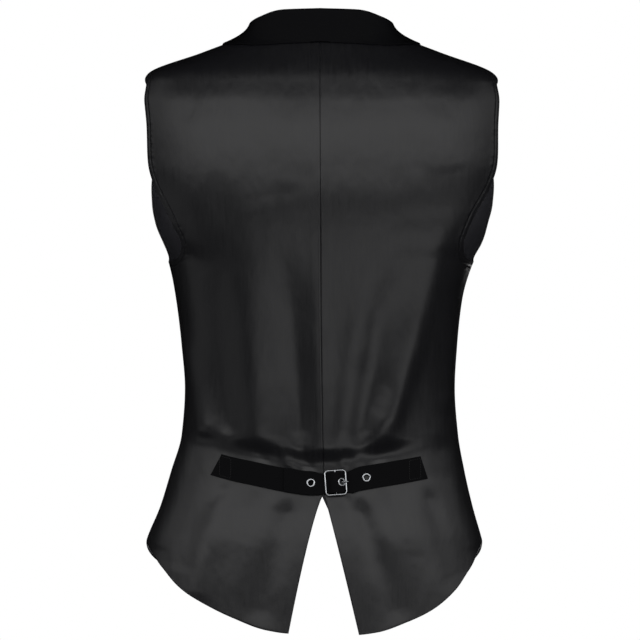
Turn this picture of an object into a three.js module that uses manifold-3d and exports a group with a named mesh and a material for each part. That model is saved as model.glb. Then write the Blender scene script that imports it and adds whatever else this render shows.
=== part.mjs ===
// A satin-backed waistcoat, filled out as if worn. Millimetres, +Z up.
// The wearer faces -Y, so the back lies at +Y and the wearer's left is +X.
// The origin is midway between the shoulders, at the height where they meet the neck.
import * as THREE from 'three';
import { mergeVertices } from 'three/addons/utils/BufferGeometryUtils.js';
import Module from 'manifold-3d';

const wasm = await Module();
wasm.setup();

// ---------------------------------------------------------------- driving dimensions, mm
const CLOTH = 2; // thickness of the made-up panels: satin, interlining and lining
const SEAM = 0.3; // gap between two pieces at a seam
const SIDE_Y = 5; // side seams and shoulder seams lie in this plane
const SQUARENESS = 0.04; // how far a section is from an ellipse towards a rectangle

const NECK_DROP = -6; // height of the neck seam at the centre back
const SHOULDER_TIP = -42;
const VENT_TOP = -500;
const VENT_HALF = 38.5; // half the vent's width at the hem
const VENT_BOW = { left: 0.77, right: 0.95 }; // 1 is a straight edge, less opens sooner
const HEM_TIP = -651; // back hem beside the vent
const HEM_SIDE = -550.5; // hem corner at the side seams
const FRONT_BREAK = -290; // where the front's V neck begins
const LAP = 10; // each front runs this far past the centre line
const LAP_LIFT = CLOTH + 1.1; // height of the upper front over the lower one

const STRAP_WIDTH = 26;
const STRAP_THICK = 1;
const STRAP_LOOP = 1.9; // radius at which the left strap turns round the centre bar
const STRAP_SLANT = { left: 12, right: -8 }; // how far a sewn end leans over the strap's width
const SQUARE = { within: 0.62, beyond: 1.15 }; // in buckle widths: where the belt lies square to it
const BUCKLE = { x: -15.3, width: 22.4, height: 26.6, wire: 1.8, lift: 4.7, corner: 3.6, tilt: 4 };
const PRONG = { wire: 1.4, reach: 13, slot: 3.6, clear: 0.35, dip: 1.3, rise: 0.5, rest: 0.1, tip: 0.2 };
const EYELET = {
  bore: 3, barrel: 3.35, hole: 3.75, flange: 4.5, rolled: 4, leaf: 0.25, clear: 0.38, bevel: 0.5, lip: 0.3,
};
const EYELETS = [{ x: 11.5 }, { x: -21.45 }, { x: -48.6 }];
const BUTTON = {
  radius: 7.5, thick: 2.6, rim: 1.4, hole: 0.9, spread: 1.7, clear: 0.9, foot: 1.6, round: 0.5, slope: 0.8,
  dish: 0.7,
};
const BUTTONS = { first: -308, pitch: 42, count: 5 };

// The form that the cloth hangs on, a row for each height: half-widths to the wearer's left
// and right, and the depth of the back and the front on the centre lines.
const LEVELS = [
  { z: -670, left: 218, right: 200, back: 122, front: -126 },
  { z: -600, left: 204, right: 188, back: 114, front: -122 },
  { z: -550, left: 190.5, right: 175, back: 106, front: -117 },
  { z: -515, left: 176, right: 165, back: 98, front: -112 },
  { z: -476, left: 164, right: 156, back: 91, front: -108 },
  { z: -436, left: 152.5, right: 149, back: 88, front: -106 },
  { z: -386, left: 149, right: 145.5, back: 91, front: -109 },
  { z: -340, left: 152.5, right: 148, back: 98, front: -114 },
  { z: -290, left: 158.5, right: 153.5, back: 105, front: -119 },
  { z: -248, left: 167, right: 166, back: 110, front: -121 },
  { z: -228, left: 177, right: 179.5, back: 112, front: -121 },
  { z: -205, left: 190.5, right: 191, back: 113.5, front: -120 },
  { z: -185, left: 197.5, right: 199.5, back: 114, front: -117 },
  { z: -142, left: 204.5, right: 208, back: 111, front: -106 },
  { z: -108, left: 204, right: 207, back: 106, front: -95 },
  { z: -75, left: 203, right: 204.5, back: 97, front: -80 },
  { z: -54, left: 196.5, right: 197, back: 89, front: -66 },
  { z: -42, left: 188.5, right: 187, back: 84, front: -58 },
  { z: -20, left: 131, right: 131, back: 72, front: -40 },
  { z: -8, left: 99, right: 99, back: 65, front: -29 },
  { z: 0, left: 78, right: 78, back: 60, front: -22 },
  { z: 12, left: 47, right: 47, back: 52, front: -14 },
];

// The centre back seam wanders a little: x of the seam at each height.
const SEAM_LEAN = [
  { z: -500, x: -2.5 },
  { z: -300, x: 0.5 },
  { z: -75, x: 1.6 },
];

// Outer edge of every panel, upwards: side seam, armhole, shoulder tip. back and front are
// degrees from the centre back and the centre front, and rows counts the grid rows up to the
// next line.
const SIDE_EDGE = [
  { z: HEM_SIDE, back: 90, front: 90, rows: 6 },
  { z: -455, back: 90, front: 90, rows: 6 },
  { z: -350, back: 90, front: 90, rows: 5 },
  { z: -264, back: 90, front: 90, rows: 1 },
  { z: -248, back: 90, front: 90, rows: 1 },
  { z: -247, back: 76, front: 86, rows: 1 },
  { z: -244, back: 65.5, front: 81, rows: 1 },
  { z: -236, back: 58, front: 77, rows: 1 },
  { z: -222, back: 54, front: 74, rows: 1 },
  { z: -203, back: 54, front: 69.5, rows: 2 },
  { z: -167, back: 59.6, front: 64, rows: 2 },
  { z: -135, back: 63.5, front: 58.5, rows: 2 },
  { z: -100, back: 65, front: 55, rows: 1 },
  { z: -75, back: 68, front: 58, rows: 1 },
  { z: -58, back: 71.5, front: 65, rows: 1 },
  { z: -48, back: 76, front: 74, rows: 1 },
  { z: -44, back: 81, front: 81, rows: 1 },
  { z: SHOULDER_TIP, back: 90, front: 90, rows: 4 },
];
const NECK_POINT = { z: 0, back: 90, front: 90, rows: 0 };

// Back hem, from the vent round to the side seam.
const BACK_HEM = [
  { angle: 0, left: HEM_TIP, right: HEM_TIP },
  { angle: 8.5, left: -650.5, right: -652 },
  { angle: 14.5, left: -647, right: -649.5 },
  { angle: 24, left: -634, right: -638.5 },
  { angle: 33, left: -620, right: -626 },
  { angle: 45.5, left: -599.5, right: -603 },
  { angle: 56, left: -580.5, right: -583 },
  { angle: 72, left: -560, right: -560 },
  { angle: 90, left: HEM_SIDE, right: HEM_SIDE },
];

// Front edge of a front, upwards: point, cutaway, lap, V neck. x is towards its own side.
const FRONT_EDGE = [
  { x: 58, z: -640 },
  { x: 41, z: -599 },
  { x: 20, z: -548 },
  { x: 0, z: -504 },
  { x: -LAP + 2, z: -484 },
  { x: -LAP, z: -450 },
  { x: -LAP, z: -390 },
  { x: -LAP, z: -330 },
  { x: -LAP + 1, z: FRONT_BREAK },
  { x: 4, z: -262 },
  { x: 19, z: -218 },
  { x: 34, z: -170 },
  { x: 48, z: -120 },
  { x: 60, z: -75 },
  { x: 68, z: -42 },
  { x: 73, z: -20 },
  { x: 76.5, z: -8 },
  { x: 78, z: 0 },
];

// Folds: a soft ridge (height over 0) or trough (under 0) from one end to the other, with
// its half-width and height at each end. x is across, positive to the wearer's left.
const BACK_FOLDS = [
  { x0: 58, z0: -215, x1: 50, z1: -452, half0: 26, half1: 14, height0: 2, height1: 4 },
  { x0: 20, z0: -235, x1: 14, z1: -456, half0: 15, half1: 9, height0: -3, height1: -5 },
  { x0: 112, z0: -225, x1: 88, z1: -450, half0: 22, half1: 14, height0: -4, height1: -5 },
  { x0: 139, z0: -340, x1: 106, z1: -440, half0: 12, half1: 14, height0: 3, height1: 4 },
  { x0: -10, z0: -225, x1: -10, z1: -450, half0: 12, half1: 7, height0: 2, height1: 3 },
  { x0: -48, z0: -275, x1: -28, z1: -450, half0: 13, half1: 9, height0: -5, height1: -6 },
  { x0: -118, z0: -175, x1: -46, z1: -442, half0: 20, half1: 10, height0: 3, height1: 6 },
  { x0: -128, z0: -270, x1: -84, z1: -452, half0: 14, half1: 20, height0: -4, height1: -6 },
  { x0: -138, z0: -290, x1: -136, z1: -410, half0: 10, half1: 12, height0: 3, height1: 2 },
  { x0: 34, z0: -500, x1: 62, z1: -590, half0: 8, half1: 18, height0: -3, height1: -2 },
  { x0: -38, z0: -500, x1: -76, z1: -592, half0: 7, half1: 16, height0: -4, height1: -2 },
  { x0: 114, z0: -506, x1: 129, z1: -566, half0: 9, half1: 16, height0: 4, height1: 2 },
  { x0: -114, z0: -486, x1: -136, z1: -532, half0: 8, half1: 14, height0: -4, height1: -2 },
];
const FRONT_FOLDS = [
  { x0: 22, z0: -318, x1: 98, z1: -250, half0: 12, half1: 22, height0: 2, height1: 3 },
  { x0: -24, z0: -352, x1: -104, z1: -300, half0: 11, half1: 20, height0: -3, height1: -3 },
  { x0: 26, z0: -420, x1: 118, z1: -372, half0: 12, half1: 20, height0: -3, height1: -4 },
  { x0: -26, z0: -438, x1: -112, z1: -404, half0: 10, half1: 18, height0: 2, height1: 4 },
  { x0: 70, z0: -470, x1: 92, z1: -590, half0: 18, half1: 26, height0: 3, height1: 3 },
  { x0: -72, z0: -480, x1: -88, z1: -592, half0: 16, half1: 26, height0: 2, height1: 4 },
];

// Collar, from the centre back (at 0) over the neck point (1) to the front break (2): height
// of its stand, and how far its fall reaches over the panels.
const COLLAR = [
  { at: 0, stand: 30, fall: 5 },
  { at: 0.25, stand: 28.5, fall: 8 },
  { at: 0.5, stand: 20.5, fall: 15 },
  { at: 0.75, stand: 14, fall: 24 },
  { at: 1, stand: 10.5, fall: 31 },
  { at: 1.25, stand: 6, fall: 42 },
  { at: 1.5, stand: 3, fall: 47 },
  { at: 1.75, stand: 2, fall: 40 },
  { at: 1.9, stand: 1.6, fall: 22 },
  { at: 2, stand: 1.4, fall: 7 },
];
const COLLAR_GAP = 1.1; // between its stand and the neck edge of the panels
const COLLAR_ROLL = 2.2; // radius of the roll line
const COLLAR_LIFT = 2.6; // middle of the collar's cloth above the panel that it lies on

// Height of the belt's centre line across the back.
const BELT_LINE = [
  { x: -117, z: -470.5 },
  { x: -90, z: -475.5 },
  { x: -48, z: -482.5 },
  { x: -27, z: -486.5 },
  { x: -12, z: -488.5 },
  { x: 10, z: -488.5 },
  { x: 36, z: -485.5 },
  { x: 78, z: -477 },
  { x: 95, z: -473.5 },
  { x: 121, z: -466.5 },
];

// Each strap: middle of its cloth above the back, and its width.
const NARROW = BUCKLE.height - BUCKLE.wire - 2;
const LEFT_STRAP = [
  { x: 114, lift: 1.1, width: STRAP_WIDTH },
  { x: 20, lift: 1.1, width: STRAP_WIDTH },
  { x: 4, lift: 1.1, width: NARROW + 1 },
  { x: -5, lift: 1.1, width: NARROW },
  { x: -9, lift: 1.5, width: NARROW },
  { x: BUCKLE.x, lift: BUCKLE.lift - STRAP_LOOP, width: NARROW },
];
const RIGHT_STRAP = [
  { x: -111, lift: 1.1, width: STRAP_WIDTH },
  { x: -60, lift: 1.4, width: STRAP_WIDTH },
  { x: -48, lift: 1.7, width: STRAP_WIDTH },
  { x: -36, lift: 1.8, width: STRAP_WIDTH },
  { x: -30, lift: 2, width: NARROW + 1 },
  { x: -27.5, lift: 2.1, width: NARROW },
  { x: -25.4, lift: 2.88, width: NARROW },
  { x: -21.45, lift: 5.25, width: NARROW },
  { x: -17.5, lift: 7.62, width: NARROW },
  { x: BUCKLE.x, lift: 8.3, width: NARROW },
  { x: -13, lift: 7.6, width: NARROW },
  { x: -6.5, lift: 2.8, width: NARROW },
  { x: -4.2, lift: 2.5, width: NARROW },
  { x: 2, lift: 2.8, width: NARROW + 1 },
  { x: 11.5, lift: 3.15, width: STRAP_WIDTH },
  { x: 41, lift: 2.5, width: STRAP_WIDTH },
];

// ---------------------------------------------------------------- finishes
const satin = () => new THREE.MeshStandardMaterial({ color: 0x17171a, roughness: 0.42 });
const jacquard = () => new THREE.MeshStandardMaterial({ color: 0x1b1b1f, roughness: 0.6 });
const barathea = () => new THREE.MeshStandardMaterial({ color: 0x0c0c0d, roughness: 0.75 });
const belting = () => new THREE.MeshStandardMaterial({ color: 0x0b0b0c, roughness: 0.8 });
const chrome = () => new THREE.MeshStandardMaterial({ color: 0xc8cacc, roughness: 0.15, metalness: 1 });
const polyester = () => new THREE.MeshStandardMaterial({ color: 0x101012, roughness: 0.3 });

// ---------------------------------------------------------------- small tools
const { lerp, clamp, degToRad, smoothstep } = THREE.MathUtils;
const Z_UP = new THREE.Vector3(0, 0, 1);

// A smooth curve through one column of a table, with no overshoot between its rows.
function curve(rows, input, output) {
  const xs = rows.map((row) => row[input]);
  const ys = rows.map((row) => row[output]);
  const slopes = xs.slice(1).map((x, i) => (ys[i + 1] - ys[i]) / (x - xs[i]));
  const tangents = xs.map((_, i) => {
    if (i === 0) return slopes[0];
    if (i === xs.length - 1) return slopes[i - 1];
    const [before, after] = [slopes[i - 1], slopes[i]];
    return before * after > 0 ? (2 * before * after) / (before + after) : 0;
  });
  return (x) => {
    let i = 0;
    while (i < xs.length - 2 && x > xs[i + 1]) i += 1;
    const span = xs[i + 1] - xs[i];
    const t = clamp((x - xs[i]) / span, 0, 1);
    const near = (1 + 2 * t) * (1 - t) ** 2 * ys[i] + t * (1 - t) ** 2 * span * tangents[i];
    const far = t * t * (3 - 2 * t) * ys[i + 1] + t * t * (t - 1) * span * tangents[i + 1];
    return near + far;
  };
}

const leftAt = curve(LEVELS, 'z', 'left');
const rightAt = curve(LEVELS, 'z', 'right');
const backAt = curve(LEVELS, 'z', 'back');
const frontAt = curve(LEVELS, 'z', 'front');
const leanAt = curve(SEAM_LEAN, 'z', 'x');
const hemAt = { left: curve(BACK_HEM, 'angle', 'left'), right: curve(BACK_HEM, 'angle', 'right') };
const beltAt = curve(BELT_LINE, 'x', 'z');
const frontRows = FRONT_EDGE.map((line, row) => ({ ...line, row }));
const frontEdge = { x: curve(frontRows, 'row', 'x'), z: curve(frontRows, 'row', 'z') };

// ---------------------------------------------------------------- the form
// A point of the form. The angle runs from the centre back (0) over the wearer's left side
// (90) to the centre front (180), and is negative over the right side.
function torso(angle, z) {
  const turned = Math.abs(angle) > 180 ? angle - 360 * Math.sign(angle) : angle;
  const side = turned < 0 ? -1 : 1;
  const phi = degToRad(Math.abs(turned));
  const isBack = phi <= Math.PI / 2;
  const across = (Math.sin(phi) + SQUARENESS * Math.sin(3 * phi)) / (1 - SQUARENESS);
  const along = Math.abs(Math.cos(phi) - SQUARENESS * Math.cos(3 * phi)) / (1 - SQUARENESS);
  const lean = isBack ? leanAt(z) * Math.cos(phi) ** 2 : 0;
  const depth = isBack ? backAt(z) : frontAt(z);
  return new THREE.Vector3(
    side * across * (side > 0 ? leftAt(z) : rightAt(z)) + lean,
    SIDE_Y + (depth - SIDE_Y) * along,
    z,
  );
}

// Shares of a fold's length over which it comes in and fades out, and where all folds come in:
// degrees from a side seam, and millimetres from the belt.
const FOLD_START = [-0.15, 0.3];
const FOLD_END = [0.88, 1.06];
const OFF_SIDE = [2, 22];
const OFF_BELT = [0, 18];

// Height of one fold at x, z: bell-shaped across, and fading in and out at its ends.
function foldHeight(fold, x, z) {
  const [runX, runZ] = [fold.x1 - fold.x0, fold.z1 - fold.z0];
  const length = Math.hypot(runX, runZ);
  const t = ((x - fold.x0) * runX + (z - fold.z0) * runZ) / length ** 2;
  const across = ((x - fold.x0) * runZ - (z - fold.z0) * runX) / length;
  const ends = smoothstep(t, ...FOLD_START) * (1 - smoothstep(t, ...FOLD_END));
  const k = clamp(t, 0, 1);
  const half = lerp(fold.half0, fold.half1, k);
  return lerp(fold.height0, fold.height1, k) * ends * Math.exp(-((across / half) ** 2));
}

// How far the left front stands out where it laps over the right, below the V neck.
function lapLift(angle, x, z) {
  if (angle < 90) return 0;
  const [flush, lapped] = [46, 14];
  const [closed, open] = [FRONT_BREAK + 10, FRONT_BREAK + 60];
  return LAP_LIFT * (1 - smoothstep(x, lapped, flush)) * (1 - smoothstep(z, closed, open));
}

// The cloth's outer face: the form with its folds, which die out at the side seams and
// where the belt presses the cloth flat.
function cloth(angle, z) {
  const point = torso(angle, z);
  const turned = Math.abs(angle) > 180 ? angle - 360 * Math.sign(angle) : angle;
  const phi = Math.abs(turned);
  const folds = phi <= 90 ? BACK_FOLDS : FRONT_FOLDS;
  const total = folds.reduce((sum, fold) => sum + foldHeight(fold, point.x, z), 0);
  const fromBelt = phi <= 90 ? Math.abs(z - beltAt(point.x)) - STRAP_WIDTH / 2 : Infinity;
  const height = total * smoothstep(Math.abs(phi - 90), ...OFF_SIDE) * smoothstep(fromBelt, ...OFF_BELT);
  const heading = degToRad(turned);
  const lifted = height + lapLift(angle, point.x, z);
  point.x += Math.sin(heading) * lifted;
  point.y += Math.cos(heading) * lifted;
  return point;
}

// Outward normal of a surface given as a function of angle and height.
function normalOf(surface, angle, z) {
  const [turn, rise] = [0.5, 1];
  const around = surface(angle + turn, z).sub(surface(angle - turn, z));
  const up = surface(angle, z + rise).sub(surface(angle, z - rise));
  return up.cross(around).normalize();
}

// The angle between near and far at which the form has this x.
function angleAt(x, z, near, far) {
  const rising = torso(far, z).x > torso(near, z).x;
  const halvings = 40;
  let [low, high] = [near, far];
  for (let i = 0; i < halvings; i += 1) {
    const middle = (low + high) / 2;
    if (torso(middle, z).x < x === rising) low = middle;
    else high = middle;
  }
  return (low + high) / 2;
}

// ---------------------------------------------------------------- walls
// A closed wall over a grid of points: its outer face lies outside the points by rise, and
// its inner face is thick below that. Normals are worked out from the grid if none is given.
function wall(grid, thick, rise = 0, normals = gridNormals(grid)) {
  const [rows, columns] = [grid.length, grid[0].length];
  const positions = [];
  for (const offset of [rise, rise - thick]) {
    grid.forEach((row, r) => row.forEach((point, c) => {
      positions.push(...point.clone().addScaledVector(normals[r][c], offset).toArray());
    }));
  }
  const outer = (r, c) => r * columns + c;
  const inner = (r, c) => rows * columns + r * columns + c;
  const index = [];
  const quad = (a, b, c, d) => index.push(a, b, c, a, c, d);
  for (let r = 0; r < rows - 1; r += 1) {
    for (let c = 0; c < columns - 1; c += 1) {
      quad(outer(r, c), outer(r + 1, c), outer(r + 1, c + 1), outer(r, c + 1));
      quad(inner(r, c), inner(r, c + 1), inner(r + 1, c + 1), inner(r + 1, c));
    }
  }
  for (let r = 0; r < rows - 1; r += 1) {
    quad(outer(r, 0), inner(r, 0), inner(r + 1, 0), outer(r + 1, 0));
    const c = columns - 1;
    quad(outer(r, c), outer(r + 1, c), inner(r + 1, c), inner(r, c));
  }
  for (let c = 0; c < columns - 1; c += 1) {
    quad(outer(0, c), outer(0, c + 1), inner(0, c + 1), inner(0, c));
    const r = rows - 1;
    quad(outer(r, c), inner(r, c), inner(r, c + 1), outer(r, c + 1));
  }
  return facingOut(positions, index);
}

// Normals of a grid whose rows rise and whose columns run round to the wearer's left.
function gridNormals(grid) {
  const last = { row: grid.length - 1, column: grid[0].length - 1 };
  return grid.map((row, r) => row.map((_, c) => {
    const up = grid[Math.min(r + 1, last.row)][c].clone().sub(grid[Math.max(r - 1, 0)][c]);
    const around = row[Math.min(c + 1, last.column)].clone().sub(row[Math.max(c - 1, 0)]);
    return up.cross(around).normalize();
  }));
}

// A geometry from shared points, turned right side out by the sign of its volume.
function facingOut(positions, index) {
  const corner = (i) => new THREE.Vector3().fromArray(positions, index[i] * 3);
  let volume = 0;
  for (let i = 0; i < index.length; i += 3) {
    volume += corner(i).dot(corner(i + 1).cross(corner(i + 2)));
  }
  if (volume < 0) index.reverse();
  const geometry = new THREE.BufferGeometry();
  geometry.setAttribute('position', new THREE.Float32BufferAttribute(positions, 3));
  geometry.setIndex(index);
  return geometry;
}

// ---------------------------------------------------------------- joining and cutting
function toSolid(geometry) {
  const plain = geometry.clone();
  plain.deleteAttribute('normal');
  plain.deleteAttribute('uv');
  const together = 1e-4;
  const merged = mergeVertices(plain, together);
  return new wasm.Manifold(new wasm.Mesh({
    numProp: 3,
    vertProperties: new Float32Array(merged.attributes.position.array),
    triVerts: new Uint32Array(merged.index.array),
  }));
}

function toGeometry(solid) {
  const mesh = solid.getMesh();
  const geometry = new THREE.BufferGeometry();
  geometry.setAttribute('position', new THREE.BufferAttribute(mesh.vertProperties, 3));
  geometry.setIndex(new THREE.BufferAttribute(mesh.triVerts, 1));
  return geometry;
}

const join = (first, ...others) => toGeometry(
  others.reduce((solid, other) => solid.add(toSolid(other)), toSolid(first)),
);
const cut = (first, ...others) => toGeometry(
  others.reduce((solid, other) => solid.subtract(toSolid(other)), toSolid(first)),
);

// ---------------------------------------------------------------- panels
// Rows of the side edge, one for each grid row, read as smooth curves.
function sideEdge(table) {
  let row = 0;
  const counted = table.map((line) => {
    const entry = { ...line, row };
    row += line.rows;
    return entry;
  });
  const columns = ['z', 'back', 'front'].map((name) => [name, curve(counted, 'row', name)]);
  const last = counted.at(-1).row;
  return {
    last,
    at: (step) => Object.fromEntries(columns.map(([name, read]) => [name, read(step)])),
  };
}

const SEAM_FROM = 89.99; // degrees from the centre at which a point lies on a side seam

// Points that lie on a side or shoulder seam stand back from it by half the gap.
function offSeam(point, onSeam, towards) {
  if (onSeam) point.y = SIDE_Y + (towards * SEAM) / 2;
  return point;
}

// Half the back: rows rise from the hem to the neck, columns run from the centre seam to the
// side seam, the armhole and the shoulder seam.
function backPanel(side) {
  const [columns, ventRows, hemRows] = [20, 9, 13];
  const name = side > 0 ? 'left' : 'right';
  const edge = sideEdge([...SIDE_EDGE, NECK_POINT]);
  const grid = [];
  const normals = [];
  for (let r = 0; r <= edge.last; r += 1) {
    const { z: edgeZ, back: edgeAngle } = edge.at(r);
    const centreZ = r < ventRows
      ? lerp(HEM_TIP, VENT_TOP, r / ventRows)
      : lerp(VENT_TOP, NECK_DROP, (r - ventRows) / (edge.last - ventRows));
    const down = Math.max(0, (VENT_TOP - centreZ) / (VENT_TOP - HEM_TIP));
    const opened = VENT_HALF * down ** VENT_BOW[name];
    const halfWidth = (side > 0 ? leftAt(centreZ) : rightAt(centreZ))
      * (1 + 3 * SQUARENESS) / (1 - SQUARENESS);
    const start = THREE.MathUtils.radToDeg((SEAM / 2 + opened) / halfWidth);
    const hemShare = Math.max(0, 1 - r / hemRows) ** 2;
    const line = [];
    const lineNormals = [];
    for (let c = 0; c <= columns; c += 1) {
      const s = c / columns;
      const angle = lerp(start, 90, s) - (90 - edgeAngle) * s * s;
      const hemLine = lerp(HEM_TIP, HEM_SIDE, s * s);
      const z = lerp(centreZ, edgeZ, s * s) + hemShare * (hemAt[name](angle) - hemLine);
      line.push(offSeam(cloth(side * angle, z), angle > SEAM_FROM, 1));
      lineNormals.push(normalOf(cloth, side * angle, z));
    }
    grid.push(line);
    normals.push(lineNormals);
  }
  return wall(grid, CLOTH, 0, normals);
}

// One front: rows rise from the hem to the shoulder seam, columns run from the front edge to
// the side seam and the armhole.
function frontPanel(side) {
  const [columns, rows, hemRows, hemBend] = [14, 30, 10, 0.7];
  const edge = sideEdge(SIDE_EDGE);
  const grid = [];
  const normals = [];
  for (let r = 0; r <= rows; r += 1) {
    const t = r / rows;
    const outer = edge.at(t * edge.last);
    const startZ = frontEdge.z(t * (FRONT_EDGE.length - 1));
    const startX = side * frontEdge.x(t * (FRONT_EDGE.length - 1));
    const start = Math.abs(angleAt(startX, startZ, side * 90, side * 200));
    const hemShare = Math.max(0, 1 - r / hemRows) ** 2;
    const line = [];
    const lineNormals = [];
    for (let c = 0; c <= columns; c += 1) {
      const s = c / columns;
      const angle = lerp(start, 180 - outer.front, s);
      const hemRise = hemShare * (outer.z - startZ) * (s ** hemBend - s);
      const z = lerp(startZ, outer.z, s) + hemRise;
      line.push(offSeam(cloth(side * angle, z), 180 - angle > SEAM_FROM, -1));
      lineNormals.push(normalOf(cloth, side * angle, z));
    }
    grid.push(line);
    normals.push(lineNormals);
  }
  return wall(grid, CLOTH, 0, normals);
}

// ---------------------------------------------------------------- collar
// Moves over the form from a point, straight ahead, and returns the point reached.
function walk(angle, z, heading, distance) {
  const [paces, probe] = [8, 0.5];
  const place = { angle, z };
  const ahead = heading.clone();
  for (let i = 0; i < paces; i += 1) {
    const around = torso(place.angle + probe, place.z).sub(torso(place.angle - probe, place.z));
    const up = torso(place.angle, place.z + probe).sub(torso(place.angle, place.z - probe));
    const [aa, uu, au] = [around.dot(around), up.dot(up), around.dot(up)];
    const [ha, hu] = [ahead.dot(around), ahead.dot(up)];
    const step = distance / paces / (aa * uu - au * au);
    place.angle += step * (ha * uu - hu * au);
    place.z += step * (hu * aa - ha * au);
    const normal = normalOf(torso, place.angle, place.z);
    ahead.addScaledVector(normal, -ahead.dot(normal)).normalize();
  }
  return place;
}

const LAPEL_END = { left: 0.15, right: 1.1 }; // rows of the front edge above the break

// Place on the neck seam: 0 centre back, 1 neck point, 2 front break. The right lapel stops
// a little higher, where the left front crosses it.
function neckSeam(at, side) {
  if (at <= 1) return { angle: side * 90 * at, z: lerp(NECK_DROP, 0, at * at) };
  const top = FRONT_EDGE.length - 1;
  const breakRow = FRONT_EDGE.findIndex((line) => line.z === FRONT_BREAK);
  const row = lerp(top, breakRow + LAPEL_END[side > 0 ? 'left' : 'right'], at - 1);
  const z = frontEdge.z(row);
  return { angle: angleAt(side * frontEdge.x(row), z, side * 90, side * 200), z };
}

// The collar's section: shares of the stand, degrees of the roll, shares of the fall, and how
// far apart the seam's direction is read.
const SECTION = { stand: [0, 0.33, 0.67, 1], roll: [125, 70, 15], fall: [0.4, 0.65, 0.85, 1], probe: 0.02 };
const COLLAR_FLAT = [0.9, 1.45]; // from a standing neck to a lapel lying flat
const COLLAR_LEAN = { back: 0.1, neck: 0.55, from: 0.2, to: 1 }; // of the stand, towards the neck

// One section of the collar: up the stand, over the roll, down the fall.
function collarSection(at, side) {
  const { angle, z } = neckSeam(at, side);
  const seam = cloth(angle, z);
  const normal = normalOf(torso, angle, z);
  const [low, high] = [Math.max(at - SECTION.probe, 0), Math.min(at + SECTION.probe, 2)]
    .map((place) => neckSeam(place, side));
  const along = torso(high.angle, high.z).sub(torso(low.angle, low.z)).normalize();
  const away = normal.clone().cross(along).multiplyScalar(side).normalize();
  const stand = curve(COLLAR, 'at', 'stand')(at);
  const fall = curve(COLLAR, 'at', 'fall')(at);

  const flat = smoothstep(at, ...COLLAR_FLAT);
  const outward = new THREE.Vector3(Math.sin(degToRad(angle)), Math.cos(degToRad(angle)), 0);
  const leant = smoothstep(at, COLLAR_LEAN.from, COLLAR_LEAN.to);
  const lean = lerp(COLLAR_LEAN.back, COLLAR_LEAN.neck, leant);
  const rise = Z_UP.clone().addScaledVector(outward, -lean).normalize();
  rise.lerp(away.clone().negate(), flat).normalize();
  const out = outward.lerp(normal, flat);
  out.addScaledVector(rise, -out.dot(rise)).normalize();

  const base = seam.clone().addScaledVector(normal, -CLOTH / 2).addScaledVector(away, -COLLAR_GAP);
  const bend = base.clone().addScaledVector(away, -stand / 3);
  const top = base.clone().addScaledVector(rise, stand);
  const centre = top.clone().addScaledVector(out, COLLAR_ROLL);
  const turn = centre.clone().addScaledVector(out, COLLAR_ROLL);

  const path = SECTION.stand.map((k) => (
    base.clone().lerp(bend, k).lerp(bend.clone().lerp(top, k), k)
  ));
  for (const degrees of SECTION.roll) {
    const a = degToRad(degrees);
    path.push(centre.clone().addScaledVector(out, COLLAR_ROLL * Math.cos(a))
      .addScaledVector(rise, COLLAR_ROLL * Math.sin(a)));
  }
  for (const k of SECTION.fall) {
    const reached = walk(angle, z, away, fall * k);
    const lying = cloth(reached.angle, reached.z)
      .addScaledVector(normalOf(torso, reached.angle, reached.z), COLLAR_LIFT);
    const falling = turn.clone().addScaledVector(rise, -stand * k);
    path.push(falling.lerp(lying, k));
  }
  return path;
}

function collar() {
  const perSide = 20;
  const sections = [];
  for (let i = -perSide; i <= perSide; i += 1) {
    sections.push(collarSection((2 * Math.abs(i)) / perSide, i < 0 ? -1 : 1));
  }
  return wall(sections, CLOTH, CLOTH / 2);
}

// ---------------------------------------------------------------- belt
// A point lifted off the form of the back at x, z.
function overBack(x, z, lift) {
  const angle = angleAt(x, z, -90, 90);
  return torso(angle, z).addScaledVector(normalOf(torso, angle, z), lift);
}

// The buckle's own axes: along the belt to the wearer's left, up, and out.
const buckleZ = beltAt(BUCKLE.x);
const buckleAxes = (() => {
  const out = normalOf(torso, angleAt(BUCKLE.x, buckleZ, -90, 90), buckleZ);
  const along = new THREE.Vector3(1, 0, 0).addScaledVector(out, -out.x).normalize();
  along.applyAxisAngle(out, degToRad(BUCKLE.tilt));
  return { along, up: along.clone().cross(out), out };
})();
const buckleBase = overBack(BUCKLE.x, buckleZ, 0);

const atBuckle = (along, up, out) => buckleBase.clone()
  .addScaledVector(buckleAxes.along, along)
  .addScaledVector(buckleAxes.up, up)
  .addScaledVector(buckleAxes.out, out);

// A point of the belt at x, up from its centre line. Within the buckle the belt lies square
// to it.
function onBelt(x, up, lift) {
  const point = overBack(x, beltAt(x) + up, lift);
  const [within, beyond] = [BUCKLE.width * SQUARE.within, BUCKLE.width * SQUARE.beyond];
  const near = 1 - smoothstep(Math.abs(x - BUCKLE.x), within, beyond);
  return point.lerp(atBuckle(x - BUCKLE.x, up, lift), near);
}

// One line of points across a strap. A slanted end leans by slant over its width.
function strapLine(x, lift, width, slant = 0) {
  const across = 3;
  return Array.from({ length: across + 1 }, (_, i) => {
    const share = i / across - 0.5;
    return onBelt(x - slant * share, width * share, lift);
  });
}

const strapReader = (table) => {
  const lift = curve(table, 'x', 'lift');
  const width = curve(table, 'x', 'width');
  return (x, slant) => strapLine(x, lift(x), width(x), slant);
};

// Even steps from one x to another, about this far apart.
function steps(from, to, pitch) {
  const count = Math.max(1, Math.round(Math.abs(to - from) / pitch));
  return Array.from({ length: count }, (_, i) => lerp(from, to, i / count));
}

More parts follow.
